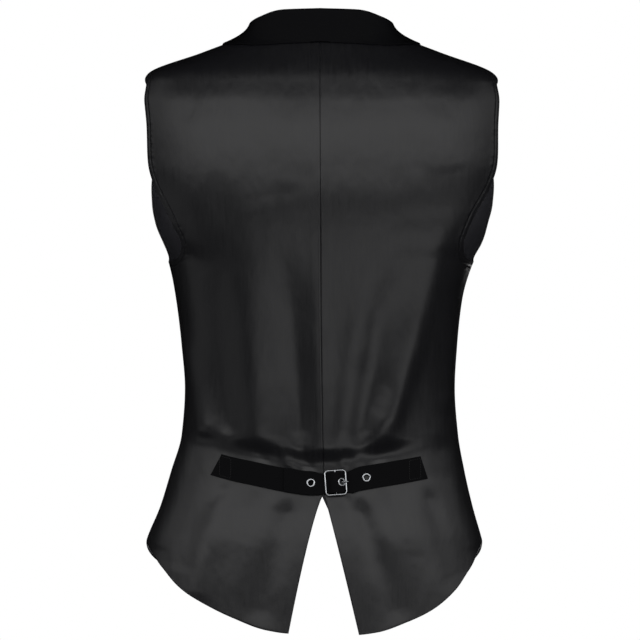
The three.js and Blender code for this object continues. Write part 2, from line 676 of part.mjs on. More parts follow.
// The left strap runs in to the buckle and turns back over its centre bar, slotted for the
// prong.
function leftStrap() {
  const line = strapReader([...LEFT_STRAP].reverse());
  const [sewn, narrowing] = [LEFT_STRAP[0].x, LEFT_STRAP[1].x];
  const pitch = { flat: 9, bent: 2.6 };
  const grid = steps(sewn, narrowing, pitch.flat).map((x, i) => line(x, i === 0 ? STRAP_SLANT.left : 0));
  steps(narrowing, BUCKLE.x, pitch.bent).forEach((x) => grid.push(line(x)));
  const loop = { end: 240, step: 30 }; // degrees round the bar
  for (let degrees = 0; degrees <= loop.end; degrees += loop.step) {
    const a = degToRad(degrees);
    const x = BUCKLE.x - STRAP_LOOP * Math.sin(a);
    grid.push(strapLine(x, BUCKLE.lift - STRAP_LOOP * Math.cos(a), NARROW));
  }
  const [slotLength, slotDepth] = [9, 8];
  const slot = new THREE.BoxGeometry(slotLength, slotDepth, PRONG.slot);
  slot.applyMatrix4(new THREE.Matrix4()
    .makeBasis(buckleAxes.along, buckleAxes.out, buckleAxes.up)
    .setPosition(atBuckle(0, 0, BUCKLE.lift)));
  return cut(wall(grid, STRAP_THICK, STRAP_THICK / 2), slot);
}

// Position and outward direction of an eyelet on the right strap.
function eyeletPlace(x) {
  const lift = curve(RIGHT_STRAP, 'x', 'lift');
  const ahead = onBelt(x + 1, 0, lift(x + 1));
  const up = onBelt(x, 1, lift(x)).sub(onBelt(x, -1, lift(x)));
  const out = up.cross(ahead.sub(onBelt(x - 1, 0, lift(x - 1)))).normalize();
  return { centre: onBelt(x, 0, lift(x)), out };
}

function placed(geometry, centre, out) {
  const turn = new THREE.Quaternion().setFromUnitVectors(new THREE.Vector3(0, 1, 0), out);
  return geometry.applyQuaternion(turn).translate(...centre.toArray());
}

// The right strap passes under the buckle's side, over its centre bar, under its other side
// and on over the left strap.
function rightStrap() {
  const line = strapReader(RIGHT_STRAP);
  const [sewn, end] = [RIGHT_STRAP[0].x, RIGHT_STRAP.at(-1).x];
  const bent = { from: -36, to: 4 }; // it bends here, to pass through the buckle
  const pitch = { sewn: 8, bent: 2, free: 7 };
  const grid = steps(sewn, bent.from, pitch.sewn)
    .map((x, i) => line(x, i === 0 ? STRAP_SLANT.right : 0));
  steps(bent.from, bent.to, pitch.bent).forEach((x) => grid.push(line(x)));
  steps(bent.to, end, pitch.free).forEach((x) => grid.push(line(x)));
  grid.push(line(end));
  const [punch, sides] = [6, 20];
  const holes = EYELETS.map(({ x }) => {
    const { centre, out } = eyeletPlace(x);
    return placed(new THREE.CylinderGeometry(EYELET.hole, EYELET.hole, punch, sides), centre, out);
  });
  return cut(wall(grid, STRAP_THICK, STRAP_THICK / 2), ...holes);
}

function eyelet({ x }) {
  const half = STRAP_THICK / 2 + EYELET.clear;
  const profile = [
    [EYELET.bore, -half - EYELET.leaf],
    [EYELET.rolled, -half - EYELET.leaf],
    [EYELET.rolled, -half],
    [EYELET.barrel, -half],
    [EYELET.barrel, half],
    [EYELET.flange, half],
    [EYELET.flange - EYELET.bevel, half + EYELET.leaf],
    [EYELET.bore + EYELET.lip, half + EYELET.leaf],
    [EYELET.bore, half],
    [EYELET.bore, -half - EYELET.leaf],
  ].map(([radius, height]) => new THREE.Vector2(radius, height));
  const sides = 18;
  const { centre, out } = eyeletPlace(x);
  return placed(new THREE.LatheGeometry(profile, sides), centre, out);
}

// A wire of round section along a curve.
function wire(path, diameter, segments, sides) {
  const section = new THREE.Shape();
  section.absarc(0, 0, diameter / 2, 0, 2 * Math.PI);
  return new THREE.ExtrudeGeometry(section, {
    steps: segments, extrudePath: path, curveSegments: sides / 2, bevelEnabled: false,
  });
}

// Rounded rectangle of wire with a centre bar.
function buckleFrame() {
  const [halfWide, halfHigh, corner] = [BUCKLE.width / 2, BUCKLE.height / 2, BUCKLE.corner];
  const rim = [];
  const centres = [[1, 1, 0], [-1, 1, 90], [-1, -1, 180], [1, -1, 270]];
  const cornerStep = 30;
  for (const [signX, signY, first] of centres) {
    for (let turn = 0; turn <= 90; turn += cornerStep) {
      const a = degToRad(first + turn);
      rim.push([
        signX * (halfWide - corner) + corner * Math.cos(a),
        signY * (halfHigh - corner) + corner * Math.sin(a),
      ]);
    }
  }
  const sides = 10;
  const positions = [];
  const index = [];
  rim.forEach(([x, y], i) => {
    const before = rim[(i + rim.length - 1) % rim.length];
    const after = rim[(i + 1) % rim.length];
    const ahead = new THREE.Vector2(after[0] - before[0], after[1] - before[1]).normalize();
    for (let k = 0; k < sides; k += 1) {
      const a = (2 * Math.PI * k) / sides;
      const outward = (BUCKLE.wire / 2) * Math.cos(a);
      const lifted = BUCKLE.lift + (BUCKLE.wire / 2) * Math.sin(a);
      const point = atBuckle(x + ahead.y * outward, y - ahead.x * outward, lifted);
      positions.push(...point.toArray());
      const [here, next] = [i * sides, ((i + 1) % rim.length) * sides];
      const k2 = (k + 1) % sides;
      index.push(here + k, next + k, next + k2, here + k, next + k2, here + k2);
    }
  });
  const ends = [-halfHigh, halfHigh].map((y) => atBuckle(0, y, BUCKLE.lift));
  const bar = wire(new THREE.LineCurve3(...ends), BUCKLE.wire, 1, sides);
  return join(facingOut(positions, index), bar);
}

// The prong hooks round the centre bar, comes up through an eyelet and rests on the side bar.
function buckleProng() {
  const hook = BUCKLE.wire / 2 + PRONG.clear + PRONG.wire / 2;
  const points = [];
  const bend = { from: 110, to: -100, step: 30 }; // degrees round the centre bar
  for (let degrees = bend.from; degrees >= bend.to; degrees -= bend.step) {
    const a = degToRad(degrees);
    points.push(atBuckle(hook * Math.cos(a), 0, BUCKLE.lift + hook * Math.sin(a)));
  }
  const eyeletX = EYELETS[1].x - BUCKLE.x;
  const halfway = 0.55;
  points.push(atBuckle(eyeletX * halfway, 0, BUCKLE.lift - PRONG.dip));
  points.push(atBuckle(eyeletX, 0, BUCKLE.lift + PRONG.rise));
  points.push(atBuckle(-BUCKLE.width / 2, 0, BUCKLE.lift + hook + PRONG.rest));
  points.push(atBuckle(-PRONG.reach, 0, BUCKLE.lift + hook + PRONG.tip));
  const [segments, sides] = [26, 8];
  return wire(new THREE.CatmullRomCurve3(points), PRONG.wire, segments, sides);
}

// ---------------------------------------------------------------- buttons
function button(i) {
  const z = BUTTONS.first - i * BUTTONS.pitch;
  const angle = angleAt(0, z, 90, 200);
  const out = normalOf(cloth, angle, z);
  const { radius, thick, rim, foot, round, slope, dish } = BUTTON;
  const widest = thick * 0.55;
  const profile = [
    [0, 0], [radius - foot, 0], [radius, widest], [radius - round, thick],
    [radius - rim, thick], [radius - rim - slope, thick - dish], [0, thick - dish],
  ].map(([r, y]) => new THREE.Vector2(r, y));
  const [drill, holeSides, discSides] = [8, 6, 20];
  const holes = [0, 90, 180, 270].map((degrees) => {
    const a = degToRad(degrees + 45);
    return new THREE.CylinderGeometry(BUTTON.hole, BUTTON.hole, drill, holeSides)
      .translate(BUTTON.spread * Math.cos(a), thick / 2, BUTTON.spread * Math.sin(a));
  });
  const disc = cut(new THREE.LatheGeometry(profile, discSides), ...holes);
  return placed(disc, cloth(angle, z).addScaledVector(out, BUTTON.clear), out);
}

// ---------------------------------------------------------------- the vest
const vest = new THREE.Group();
const add = (name, geometry, material) => {
  const mesh = new THREE.Mesh(geometry, material);
  mesh.name = name;
  vest.add(mesh);
};

add('back_left', backPanel(1), satin());
add('back_right', backPanel(-1), satin());
add('front_left', frontPanel(1), jacquard());
add('front_right', frontPanel(-1), jacquard());
add('collar', collar(), barathea());
add('strap_left', leftStrap(), belting());
add('strap_right', rightStrap(), belting());
add('buckle_frame', buckleFrame(), chrome());
add('buckle_prong', buckleProng(), chrome());
EYELETS.forEach((place, i) => add(`eyelet_${i + 1}`, eyelet(place), chrome()));
for (let i = 0; i < BUTTONS.count; i += 1) add(`button_${i + 1}`, button(i), polyester());

export default vest;
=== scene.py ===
import math

import bpy
import numpy as np
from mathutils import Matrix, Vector
from mathutils.bvhtree import BVHTree


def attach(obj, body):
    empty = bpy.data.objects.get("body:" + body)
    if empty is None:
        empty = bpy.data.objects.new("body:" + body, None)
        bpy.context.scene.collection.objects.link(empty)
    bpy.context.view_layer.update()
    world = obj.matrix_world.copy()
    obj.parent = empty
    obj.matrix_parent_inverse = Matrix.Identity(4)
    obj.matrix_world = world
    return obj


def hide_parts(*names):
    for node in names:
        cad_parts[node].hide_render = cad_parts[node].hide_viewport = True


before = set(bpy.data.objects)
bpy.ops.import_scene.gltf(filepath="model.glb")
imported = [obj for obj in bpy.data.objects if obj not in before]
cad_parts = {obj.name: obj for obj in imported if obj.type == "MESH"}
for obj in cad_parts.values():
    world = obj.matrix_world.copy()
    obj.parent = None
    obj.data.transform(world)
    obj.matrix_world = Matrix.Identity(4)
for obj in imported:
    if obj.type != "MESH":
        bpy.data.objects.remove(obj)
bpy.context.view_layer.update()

# A satin-backed jacquard waistcoat, filled out as if worn. Tables are in millimetres, meshes
# in metres. The wearer faces -Y, so the back lies at +Y and the wearer's left is +X. The
# origin is midway between the shoulders, at the height where they meet the neck.
MM = 0.001


def table(names, *rows):
    """Rows of values under named columns."""
    return [dict(zip(names.split(), row)) for row in rows]


# ------------------------------------------------------------------ sizes, mm
CLOTH = 2  # thickness of a made-up panel: satin, interlining and lining
SEWN = -0.1  # gap between two panels at a seam: they press on each other
SIDE_Y = 5  # side seams and shoulder seams lie in this plane
SQUARENESS = 0.04  # how far a section is from an ellipse towards a rectangle
NECK_DROP = -6
SHOULDER_TIP = -42
VENT_TOP = -500
VENT_HALF = 38.5
VENT_BOW = {1: 0.77, -1: 0.95}
HEM_TIP = -651
HEM_SIDE = -550.5
FRONT_BREAK = -290
LAP = 10
LAP_LIFT = CLOTH + 1.1
STRAP_WIDTH = 26
STRAP_THICK = 1
STRAP_LOOP = 1.9
BUCKLE = dict(x=-15.3, width=22.4, height=26.6, wire=1.8, lift=4.7, corner=3.6, tilt=4)
PRONG = dict(wire=1.4, reach=13, slot=3.6, clear=0.35)
EYELET = dict(bore=2.9, hole=3.75, flange=4.75, leaf=0.55, clear=0.3)
EYELETS = (11.5, -21.45, -48.6)
BUTTON = dict(radius=7.5, thick=2.6, rim=1.4, hole=0.9, spread=1.7, clear=0.9)
BUTTONS = dict(first=-308, pitch=42, count=5)
TOPSTITCH = 6.5  # of the armholes, from the edge
ARMHOLE_STITCH = dict(pitch=3, share=0.8, thread=0.42)
BOX_STITCH = dict(pitch=2.6, share=0.82, thread=0.45, inset=2.5, lift=1.1, per_side=12)
PURL = dict(pairs=46, pitch=0.42, start=-3, beside=1.05, round_end=1.1, length=1.9, thread=0.5)
BUTTON_THREAD = dict(thick=0.5, apart=0.34, over=0.8, sunk=0.6)
EDGE = 0.7  # how far the rounded edge of a panel reaches out
FOLDS_START = (2, 24)  # mm from the belt's edge over which the folds come in
CREASES_START = (-1, 5)  # and the finer creases
OFF_SIDE = (2, 22)  # degrees from a side seam over which both come in
MARKS = ("armhole", "centre_seam")  # distances from these that a finish may read

# The form that the cloth hangs on: half-widths to the wearer's left and right, and the
# depth of the back and the front on the centre lines.
LEVELS = table(
    "z left right back front",
    (-670, 218, 200, 122, -126),
    (-600, 204, 188, 114, -122),
    (-550, 190.5, 175, 106, -117),
    (-515, 176, 165, 98, -112),
    (-476, 164, 156, 91, -108),
    (-436, 152.5, 149, 88, -106),
    (-386, 149, 145.5, 91, -109),
    (-340, 152.5, 148, 98, -114),
    (-290, 158.5, 153.5, 105, -119),
    (-248, 167, 166, 110, -121),
    (-228, 177, 179.5, 112, -121),
    (-205, 190.5, 191, 113.5, -120),
    (-185, 197.5, 199.5, 114, -117),
    (-142, 204.5, 208, 111, -106),
    (-108, 204, 207, 106, -95),
    (-75, 203, 204.5, 97, -80),
    (-54, 196.5, 197, 89, -66),
    (-42, 188.5, 187, 84, -58),
    (-20, 131, 131, 72, -40),
    (-8, 99, 99, 65, -29),
    (0, 78, 78, 60, -22),
    (12, 47, 47, 52, -14),
)

# The centre back seam wanders a little: x of the seam at each height.
SEAM_LEAN = table(
    "z x",
    (-500, -2.5),
    (-300, 0.5),
    (-75, 1.6),
)

# Outer edge of every panel, upwards: side seam, armhole, shoulder tip and, on the back, the
# neck point. back and front are degrees from the centre back and the centre front.
SIDE_EDGE = table(
    "row z back front",
    (0, HEM_SIDE, 90, 90),
    (6, -455, 90, 90),
    (12, -350, 90, 90),
    (17, -264, 90, 90),
    (18, -248, 90, 90),
    (19, -247, 76, 86),
    (20, -244, 65.5, 81),
    (21, -236, 58, 77),
    (22, -222, 54, 74),
    (23, -203, 54, 69.5),
    (25, -167, 59.6, 64),
    (27, -135, 63.5, 58.5),
    (29, -100, 65, 55),
    (30, -75, 68, 58),
    (31, -58, 71.5, 65),
    (32, -48, 76, 74),
    (33, -44, 81, 81),
    (34, SHOULDER_TIP, 90, 90),
)
NECK_POINT = dict(row=38, z=0, back=90, front=90)
ARMHOLE_FROM = 18  # the row of the side edge at which the armhole starts
SHOULDER_FROM = 34

# Back hem, from the vent round to the side seam, on the wearer's left and right.
BACK_HEM = table(
    "angle left right",
    (0, HEM_TIP, HEM_TIP),
    (8.5, -650.5, -652),
    (14.5, -647, -649.5),
    (24, -634, -638.5),
    (33, -620, -626),
    (45.5, -599.5, -603),
    (56, -580.5, -583),
    (72, -560, -560),
    (90, HEM_SIDE, HEM_SIDE),
)

# Front edge of a front, upwards: point, cutaway, lap, V neck. x is towards its own side.
FRONT_EDGE = table(
    "row x z",
    (0, 58, -640),
    (1, 41, -599),
    (2, 20, -548),
    (3, 0, -504),
    (4, -LAP + 2, -484),
    (5, -LAP, -450),
    (6, -LAP, -390),
    (7, -LAP, -330),
    (8, -LAP + 1, FRONT_BREAK),
    (9, 4, -262),
    (10, 19, -218),
    (11, 34, -170),
    (12, 48, -120),
    (13, 60, -75),
    (14, 68, -42),
    (15, 73, -20),
    (16, 76.5, -8),
    (17, 78, 0),
)
BREAK_ROW = 8

# Main folds: a soft ridge (height over 0) or trough (under 0) from one end to the other, with
# its half-width and height at each end. x is positive to the wearer's left. The first three
# of the back are where the cloth blouses over the belt.
BACK_FOLDS = table(
    "x0 z0 x1 z1 half0 half1 height0 height1",
    (0, -300, 0, -467, 45, 45, 0, 9),
    (75, -290, 75, -455, 45, 45, 0, 8),
    (-75, -290, -75, -455, 45, 45, 0, 7),
    (84, -225, 64, -450, 24, 14, 2, 4),
    (38, -245, 20, -454, 17, 9, -3, -4),
    (2, -250, 0, -455, 12, 7, 1.5, 2.5),
    (122, -235, 98, -448, 20, 13, -3, -4),
    (150, -325, 122, -440, 12, 13, 3, 4),
    (-46, -268, -18, -450, 14, 9, 2, 3),
    (-70, -270, -40, -450, 13, 10, -3, -4),
    (-138, -200, -60, -446, 20, 13, 4, 9),
    (-150, -255, -96, -452, 14, 20, 3, -3),
    (-150, -300, -138, -410, 10, 12, 2, 2),
    (34, -500, 68, -640, 9, 20, -3, -2),
    (-38, -500, -86, -640, 8, 18, -4, -2),
    (112, -504, 140, -618, 9, 18, 4, 2),
    (-112, -488, -152, -600, 9, 18, -3, -2),
)
FRONT_FOLDS = table(
    "x0 z0 x1 z1 half0 half1 height0 height1",
    (22, -318, 98, -250, 12, 22, 2, 3),
    (-24, -352, -104, -300, 11, 20, -3, -3),
    (26, -420, 118, -372, 12, 20, -3, -4),
    (-26, -438, -112, -404, 10, 18, 2, 4),
    (70, -470, 92, -590, 18, 26, 3, 3),
    (-72, -480, -88, -592, 16, 26, 2, 4),
)

# Finer creases that lie over the folds: gathers that the belt draws in above and below it,
# drag lines at the armholes and loose waves in the skirt of the back.
BACK_CREASES = table(
    "x0 z0 x1 z1 half0 half1 height0 height1",
    (46, -446, 30, -480, 4, 8, 0.3, 3),
    (22, -440, 12, -478, 5, 6, -0.4, -1.6),
    (-18, -450, -26, -480, 4, 6, 0.3, 2.4),
    (-40, -455, -44, -480, 5, 7, 0.4, 2.2),
    (70, -436, 62, -474, 7, 7, -0.3, -1.2),
    (-66, -440, -62, -474, 6, 7, -0.3, -1.2),
    (-28, -501, -34, -526, 4, 5, -0.7, -0.2),
    (-46, -500, -64, -572, 5, 9, 0.7, 0.3),
    (-64, -498, -78, -550, 6, 9, -0.6, -0.2),
    (-90, -494, -100, -566, 7, 11, 0.6, 0.4),
    (50, -502, 64, -540, 6, 9, 0.5, 0.2),
    (74, -500, 86, -552, 7, 10, -0.6, -0.3),
    (94, -497, 102, -536, 6, 9, 0.5, 0.2),
    (102, -492, 122, -512, 5, 6, -0.6, -0.3),
    (140, -520, 154, -582, 10, 14, -1, -0.8),
    (166, -510, 178, -560, 10, 10, 0.8, 0.6),
    (-160, -500, -170, -560, 9, 11, 0.8, 0.6),
    (44, -552, 118, -538, 30, 28, 1.2, 0.8),
    (-42, -552, -156, -522, 32, 28, 1.2, 1),
    (152, -230, 128, -262, 6, 9, -0.8, -0.3),
    (142, -214, 112, -262, 9, 13, 0.7, 0.3),
    (-158, -206, -130, -244, 9, 12, -0.8, -0.4),
    (-152, -240, -134, -282, 8, 11, 0.6, 0.4),
    (84, -78, 66, -190, 20, 26, -1.2, -0.8),
    (134, -86, 140, -196, 18, 20, 1.2, 0.9),
    (-84, -90, -104, -214, 24, 28, -1.2, -0.9),
    (-128, -82, -140, -150, 17, 18, 1, 0.6),
    (30, -76, 34, -170, 16, 18, 0.8, 0.5),
    (112, -160, 96, -260, 18, 20, -0.9, -0.6),
)
FRONT_CREASES = table(
    "x0 z0 x1 z1 half0 half1 height0 height1",
    (18, -386, 64, -366, 5, 10, 1.2, 0.6),
    (-20, -398, -70, -372, 5, 10, -1.2, -0.6),
    (16, -474, 60, -446, 5, 11, 1.2, 0.8),
    (-18, -478, -62, -462, 5, 10, 1, 0.6),
    (136, -236, 104, -286, 6, 12, -1.8, -0.8),
    (-138, -238, -108, -292, 6, 12, -1.6, -0.8),
    (150, -470, 160, -540, 9, 13, -1.8, -1.2),
    (-142, -478, -150, -540, 9, 13, 1.6, 1.2),
)

# Collar, from the centre back (at 0) over the neck point (1) to the front break (2): height
# of its stand, and how far its fall reaches over the panels.
COLLAR = table(
    "at stand fall",
    (0, 30, 5),
    (0.25, 28.5, 8),
    (0.5, 20.5, 15),
    (0.75, 14, 24),
    (1, 10.5, 31),
    (1.25, 6, 42),
    (1.5, 3, 47),
    (1.75, 2, 40),
    (1.9, 1.6, 22),
    (2, 1.4, 7),
)
COLLAR_GAP = 1.1
COLLAR_ROLL = 2.2
COLLAR_LIFT = 1.1
COLLAR_THICK = 1.4

# Height of the belt's centre line across the back.
BELT_LINE = table(
    "x z",
    (-117, -470.5),
    (-90, -475.5),
    (-48, -482.5),
    (-27, -486.5),
    (-12, -488.5),
    (10, -488.5),
    (36, -485.5),
    (78, -477),
    (95, -473.5),
    (121, -466.5),
)

# Each strap: middle of its cloth above the back, and its width.
NARROW = BUCKLE["height"] - BUCKLE["wire"] - 2
LEFT_STRAP = table(
    "x lift width",
    (BUCKLE["x"], BUCKLE["lift"] - STRAP_LOOP, NARROW),
    (-9, 1.5, NARROW),
    (-5, 1.1, NARROW),
    (4, 1.1, NARROW + 1),
    (20, 1.1, STRAP_WIDTH),
    (114, 1.1, STRAP_WIDTH),
)
RIGHT_STRAP = table(
    "x lift width",
    (-111, 1.1, STRAP_WIDTH),
    (-60, 1.4, STRAP_WIDTH),
    (-48, 1.7, STRAP_WIDTH),
    (-36, 1.8, STRAP_WIDTH),
    (-30, 2, NARROW + 1),
    (-27.5, 2.1, NARROW),
    (-25.4, 2.88, NARROW),
    (-21.45, 5.25, NARROW),
    (-17.5, 7.62, NARROW),
    (BUCKLE["x"], 8.3, NARROW),
    (-13, 7.6, NARROW),
    (-6.5, 2.8, NARROW),
    (-4.2, 2.5, NARROW),
    (2, 2.8, NARROW + 1),
    (11.5, 3.15, STRAP_WIDTH),
    (41, 2.5, STRAP_WIDTH),
)


# ------------------------------------------------------------------ small tools
def curve(rows, source, target):
    """A smooth curve through two columns of a table, with no overshoot between its rows."""
    xs = np.array([row[source] for row in rows], float)
    ys = np.array([row[target] for row in rows], float)
    slopes = np.diff(ys) / np.diff(xs)
    before, after = slopes[:-1], slopes[1:]
    together = before * after > 0
    total = np.where(together, before + after, 1)
    inner = np.where(together, 2 * before * after / total, 0)
    tangents = np.concatenate([slopes[:1], inner, slopes[-1:]])

    def read(x):
        x = np.asarray(x, float)
        i = np.clip(np.searchsorted(xs, x) - 1, 0, len(xs) - 2)
        span = xs[i + 1] - xs[i]
        t = np.clip((x - xs[i]) / span, 0, 1)
        near = (1 + 2 * t) * (1 - t) ** 2 * ys[i] + t * (1 - t) ** 2 * span * tangents[i]
        far = t * t * (3 - 2 * t) * ys[i + 1] + t * t * (t - 1) * span * tangents[i + 1]
        return near + far

    return read


def smoothstep(x, low, high):
    t = np.clip((np.asarray(x, float) - low) / (high - low), 0, 1)
    return t * t * (3 - 2 * t)


def lerp(a, b, t):
    return a + (b - a) * t


def unit(vectors):
    return vectors / np.maximum(np.linalg.norm(vectors, axis=-1, keepdims=True), 1e-12)


def dot(a, b):
    return np.sum(a * b, axis=-1)


left_at, right_at = curve(LEVELS, "z", "left"), curve(LEVELS, "z", "right")
back_at, front_at = curve(LEVELS, "z", "back"), curve(LEVELS, "z", "front")
lean_at = curve(SEAM_LEAN, "z", "x")
hem_at = {1: curve(BACK_HEM, "angle", "left"), -1: curve(BACK_HEM, "angle", "right")}
belt_at = curve(BELT_LINE, "x", "z")
front_edge = {name: curve(FRONT_EDGE, "row", name) for name in ("x", "z")}
back_side = {name: curve([*SIDE_EDGE, NECK_POINT], "row", name) for name in ("z", "back")}
front_side = {name: curve(SIDE_EDGE, "row", name) for name in ("z", "front")}


# ------------------------------------------------------------------ the form
def torso(angle, z):
    """Points of the form. The angle runs from the centre back (0) over the wearer's left
    side (90) to the centre front (180), and is negative over the right side."""
    angle, z = np.broadcast_arrays(np.asarray(angle, float), np.asarray(z, float))
    turned = (angle + 180) % 360 - 180
    side = np.where(turned < 0, -1, 1)
    phi = np.radians(np.abs(turned))
    is_back = phi <= np.pi / 2
    across = (np.sin(phi) + SQUARENESS * np.sin(3 * phi)) / (1 - SQUARENESS)
    along = np.abs(np.cos(phi) - SQUARENESS * np.cos(3 * phi)) / (1 - SQUARENESS)
    lean = np.where(is_back, lean_at(z) * np.cos(phi) ** 2, 0)
    depth = np.where(is_back, back_at(z), front_at(z))
    half = np.where(side > 0, left_at(z), right_at(z))
    x = side * across * half + lean
    return np.stack([x, SIDE_Y + (depth - SIDE_Y) * along, z], axis=-1)


def fold_heights(folds, x, z):
    """Height of all folds at x, z: bell-shaped across, and fading in and out at their ends."""
    total = np.zeros_like(x)
    for fold in folds:
        run_x, run_z = fold["x1"] - fold["x0"], fold["z1"] - fold["z0"]
        length = math.hypot(run_x, run_z)
        t = ((x - fold["x0"]) * run_x + (z - fold["z0"]) * run_z) / length**2
        across = ((x - fold["x0"]) * run_z - (z - fold["z0"]) * run_x) / length
        ends = smoothstep(t, -0.15, 0.3) * (1 - smoothstep(t, 0.88, 1.06))
        k = np.clip(t, 0, 1)
        half = lerp(fold["half0"], fold["half1"], k)
        height = lerp(fold["height0"], fold["height1"], k)
        total += height * ends * np.exp(-((across / half) ** 2))
    return total


def lap_lift(angle, x, z):
    """How far the left front stands out where it laps over the right, below the V neck."""
    flush, lapped = 46, 14
    closed = 1 - smoothstep(z, FRONT_BREAK + 10, FRONT_BREAK + 60)
    return np.where(angle < 90, 0, LAP_LIFT * (1 - smoothstep(x, lapped, flush)) * closed)


def cloth(angle, z):
    """The cloth's outer face: the form with its folds, which die out at the side seams and
    where the belt presses the cloth flat."""
    point = torso(angle, z)
    angle, z = np.broadcast_arrays(np.asarray(angle, float), np.asarray(z, float))
    turned = (angle + 180) % 360 - 180
    phi = np.abs(turned)
    x = point[..., 0]
    is_back = phi <= 90
    total = np.where(is_back, fold_heights(BACK_FOLDS, x, z), fold_heights(FRONT_FOLDS, x, z))
    from_belt = np.where(is_back, np.abs(z - belt_at(x)) - STRAP_WIDTH / 2, np.inf)
    total = total * smoothstep(from_belt, *FOLDS_START)
    fine = np.where(
        is_back, fold_heights(BACK_CREASES, x, z), fold_heights(FRONT_CREASES, x, z)
    )
    total = total + fine * smoothstep(from_belt, *CREASES_START)
    height = total * smoothstep(np.abs(phi - 90), *OFF_SIDE) + lap_lift(angle, x, z)
    heading = np.radians(turned)
    out = np.stack([np.sin(heading), np.cos(heading), np.zeros_like(heading)], axis=-1)
    return point + out * height[..., None]


def normal_of(surface, angle, z):
    """Outward normals of a surface given as a function of angle and height."""
    around = surface(angle + 0.5, z) - surface(angle - 0.5, z)
    up = surface(angle, z + 1) - surface(angle, z - 1)
    return unit(np.cross(up, around))


def angle_at(x, z, near, far):
    """The angles between near and far at which the form has this x."""
    x, z = np.broadcast_arrays(np.asarray(x, float), np.asarray(z, float))
    low, high = near + np.zeros(x.shape), far + np.zeros(x.shape)
    rising = torso(high, z)[..., 0] > torso(low, z)[..., 0]
    for _ in range(40):
        middle = (low + high) / 2
        before = (torso(middle, z)[..., 0] < x) == rising
        low, high = np.where(before, middle, low), np.where(before, high, middle)
    return (low + high) / 2


# ------------------------------------------------------------------ meshes
def steps_along(points, axis):
    """Distance along a grid's lines from their first point."""
    gaps = np.linalg.norm(np.diff(points, axis=axis), axis=-1)
    start = np.zeros_like(np.take(gaps, [0], axis=axis))
    return np.cumsum(np.concatenate([start, gaps], axis=axis), axis=axis)


def grid_normals(points, side=1):
    up, around = np.gradient(points, axis=0), np.gradient(points, axis=1)
    return unit(np.cross(up, around)) * side


def new_piece(name, vertices, faces, materials, places=None, face_materials=None, marks=()):
    """A mesh piece from points in mm, turned right side out by the sign of its volume. marks
    are distances in mm that its finish reads."""
    vertices = np.asarray(vertices, float)
    faces = np.asarray(faces)
    first, second, third = (vertices[faces[:, i]] for i in range(3))
    volume = np.sum(dot(first, np.cross(second, third)))
    if faces.shape[1] == 4:
        volume += np.sum(dot(first, np.cross(third, vertices[faces[:, 3]])))
    if volume < 0:
        faces = faces[:, ::-1]
    mesh = bpy.data.meshes.new(name)
    mesh.from_pydata((vertices * MM).tolist(), [], faces.tolist())
    if places is not None:
        corners = np.empty(len(mesh.loops), int)
        mesh.loops.foreach_get("vertex_index", corners)
        layer = mesh.uv_layers.new(name="cloth")
        layer.data.foreach_set("uv", (np.asarray(places, float)[corners] * MM).ravel())
    for material in materials:
        mesh.materials.append(material)
    if face_materials is not None:
        mesh.polygons.foreach_set("material_index", np.asarray(face_materials, np.int32))
    for key, values in dict(marks).items():
        layer = mesh.attributes.new(key, "FLOAT", "POINT")
        layer.data.foreach_set("value", np.asarray(values, float))
    mesh.polygons.foreach_set("use_smooth", np.full(len(mesh.polygons), True))
    mesh.update()
    piece = bpy.data.objects.new(name, mesh)
    bpy.context.scene.collection.objects.link(piece)
    return piece


def shell(name, points, thick, materials, places, side=1, rise=0, roll=4, marks=(), normals=None):
    """A closed sheet of cloth over a grid of points, with rounded edges. Its outer face lies
    over the points by rise. materials are those of the outer and of the inner face."""
    normals = grid_normals(points, side) if normals is None else normals
    rows, columns = points.shape[:2]
    index = np.arange(rows * columns).reshape(rows, columns)
    ring = np.concatenate([index[0, :-1], index[:-1, -1], index[-1, :0:-1], index[:0:-1, 0]])
    normals = normals.reshape(-1, 3)
    half, edge = thick / 2, min(thick / 2, EDGE)
    middle = points.reshape(-1, 3) + normals * (rise - half)
    ahead = unit(np.roll(middle[ring], -1, axis=0) - np.roll(middle[ring], 1, axis=0))
    away = unit(np.cross(normals[ring], ahead)) * side
    middle[ring] -= away * edge
    outer, inner = middle + normals * half, middle - normals * half
    rims = [
        middle[ring] + normals[ring] * (half * math.cos(turn)) + away * (edge * math.sin(turn))
        for turn in np.linspace(0, math.pi, roll + 1)[1:-1]
    ]
    vertices = np.concatenate([outer, inner, *rims])
    count = rows * columns
    cell = [index[:-1, :-1], index[1:, :-1], index[1:, 1:], index[:-1, 1:]]
    outside = np.stack([part.ravel() for part in cell], axis=-1)
    inside = outside[:, ::-1] + count
    loops = [ring, *[2 * count + i * len(ring) + np.arange(len(ring)) for i in range(roll - 1)]]
    loops.append(ring + count)
    bands = [
        np.stack([a, np.roll(a, -1), np.roll(b, -1), b], axis=-1)
        for a, b in zip(loops[:-1], loops[1:])
    ]
    faces = np.concatenate([outside, inside, *bands])
    which = np.zeros(len(faces), int)
    which[len(outside) : 2 * len(outside)] = min(1, len(materials) - 1)

    def spread(values):
        return np.concatenate([values, values, *[values[ring]] * (roll - 1)])

    far = np.full(rows * columns, 99.0)
    marks = {key: spread(dict(marks).get(key, far).reshape(-1)) for key in MARKS}
    return new_piece(name, vertices, faces, materials, spread(places.reshape(-1, 2)), which, marks)


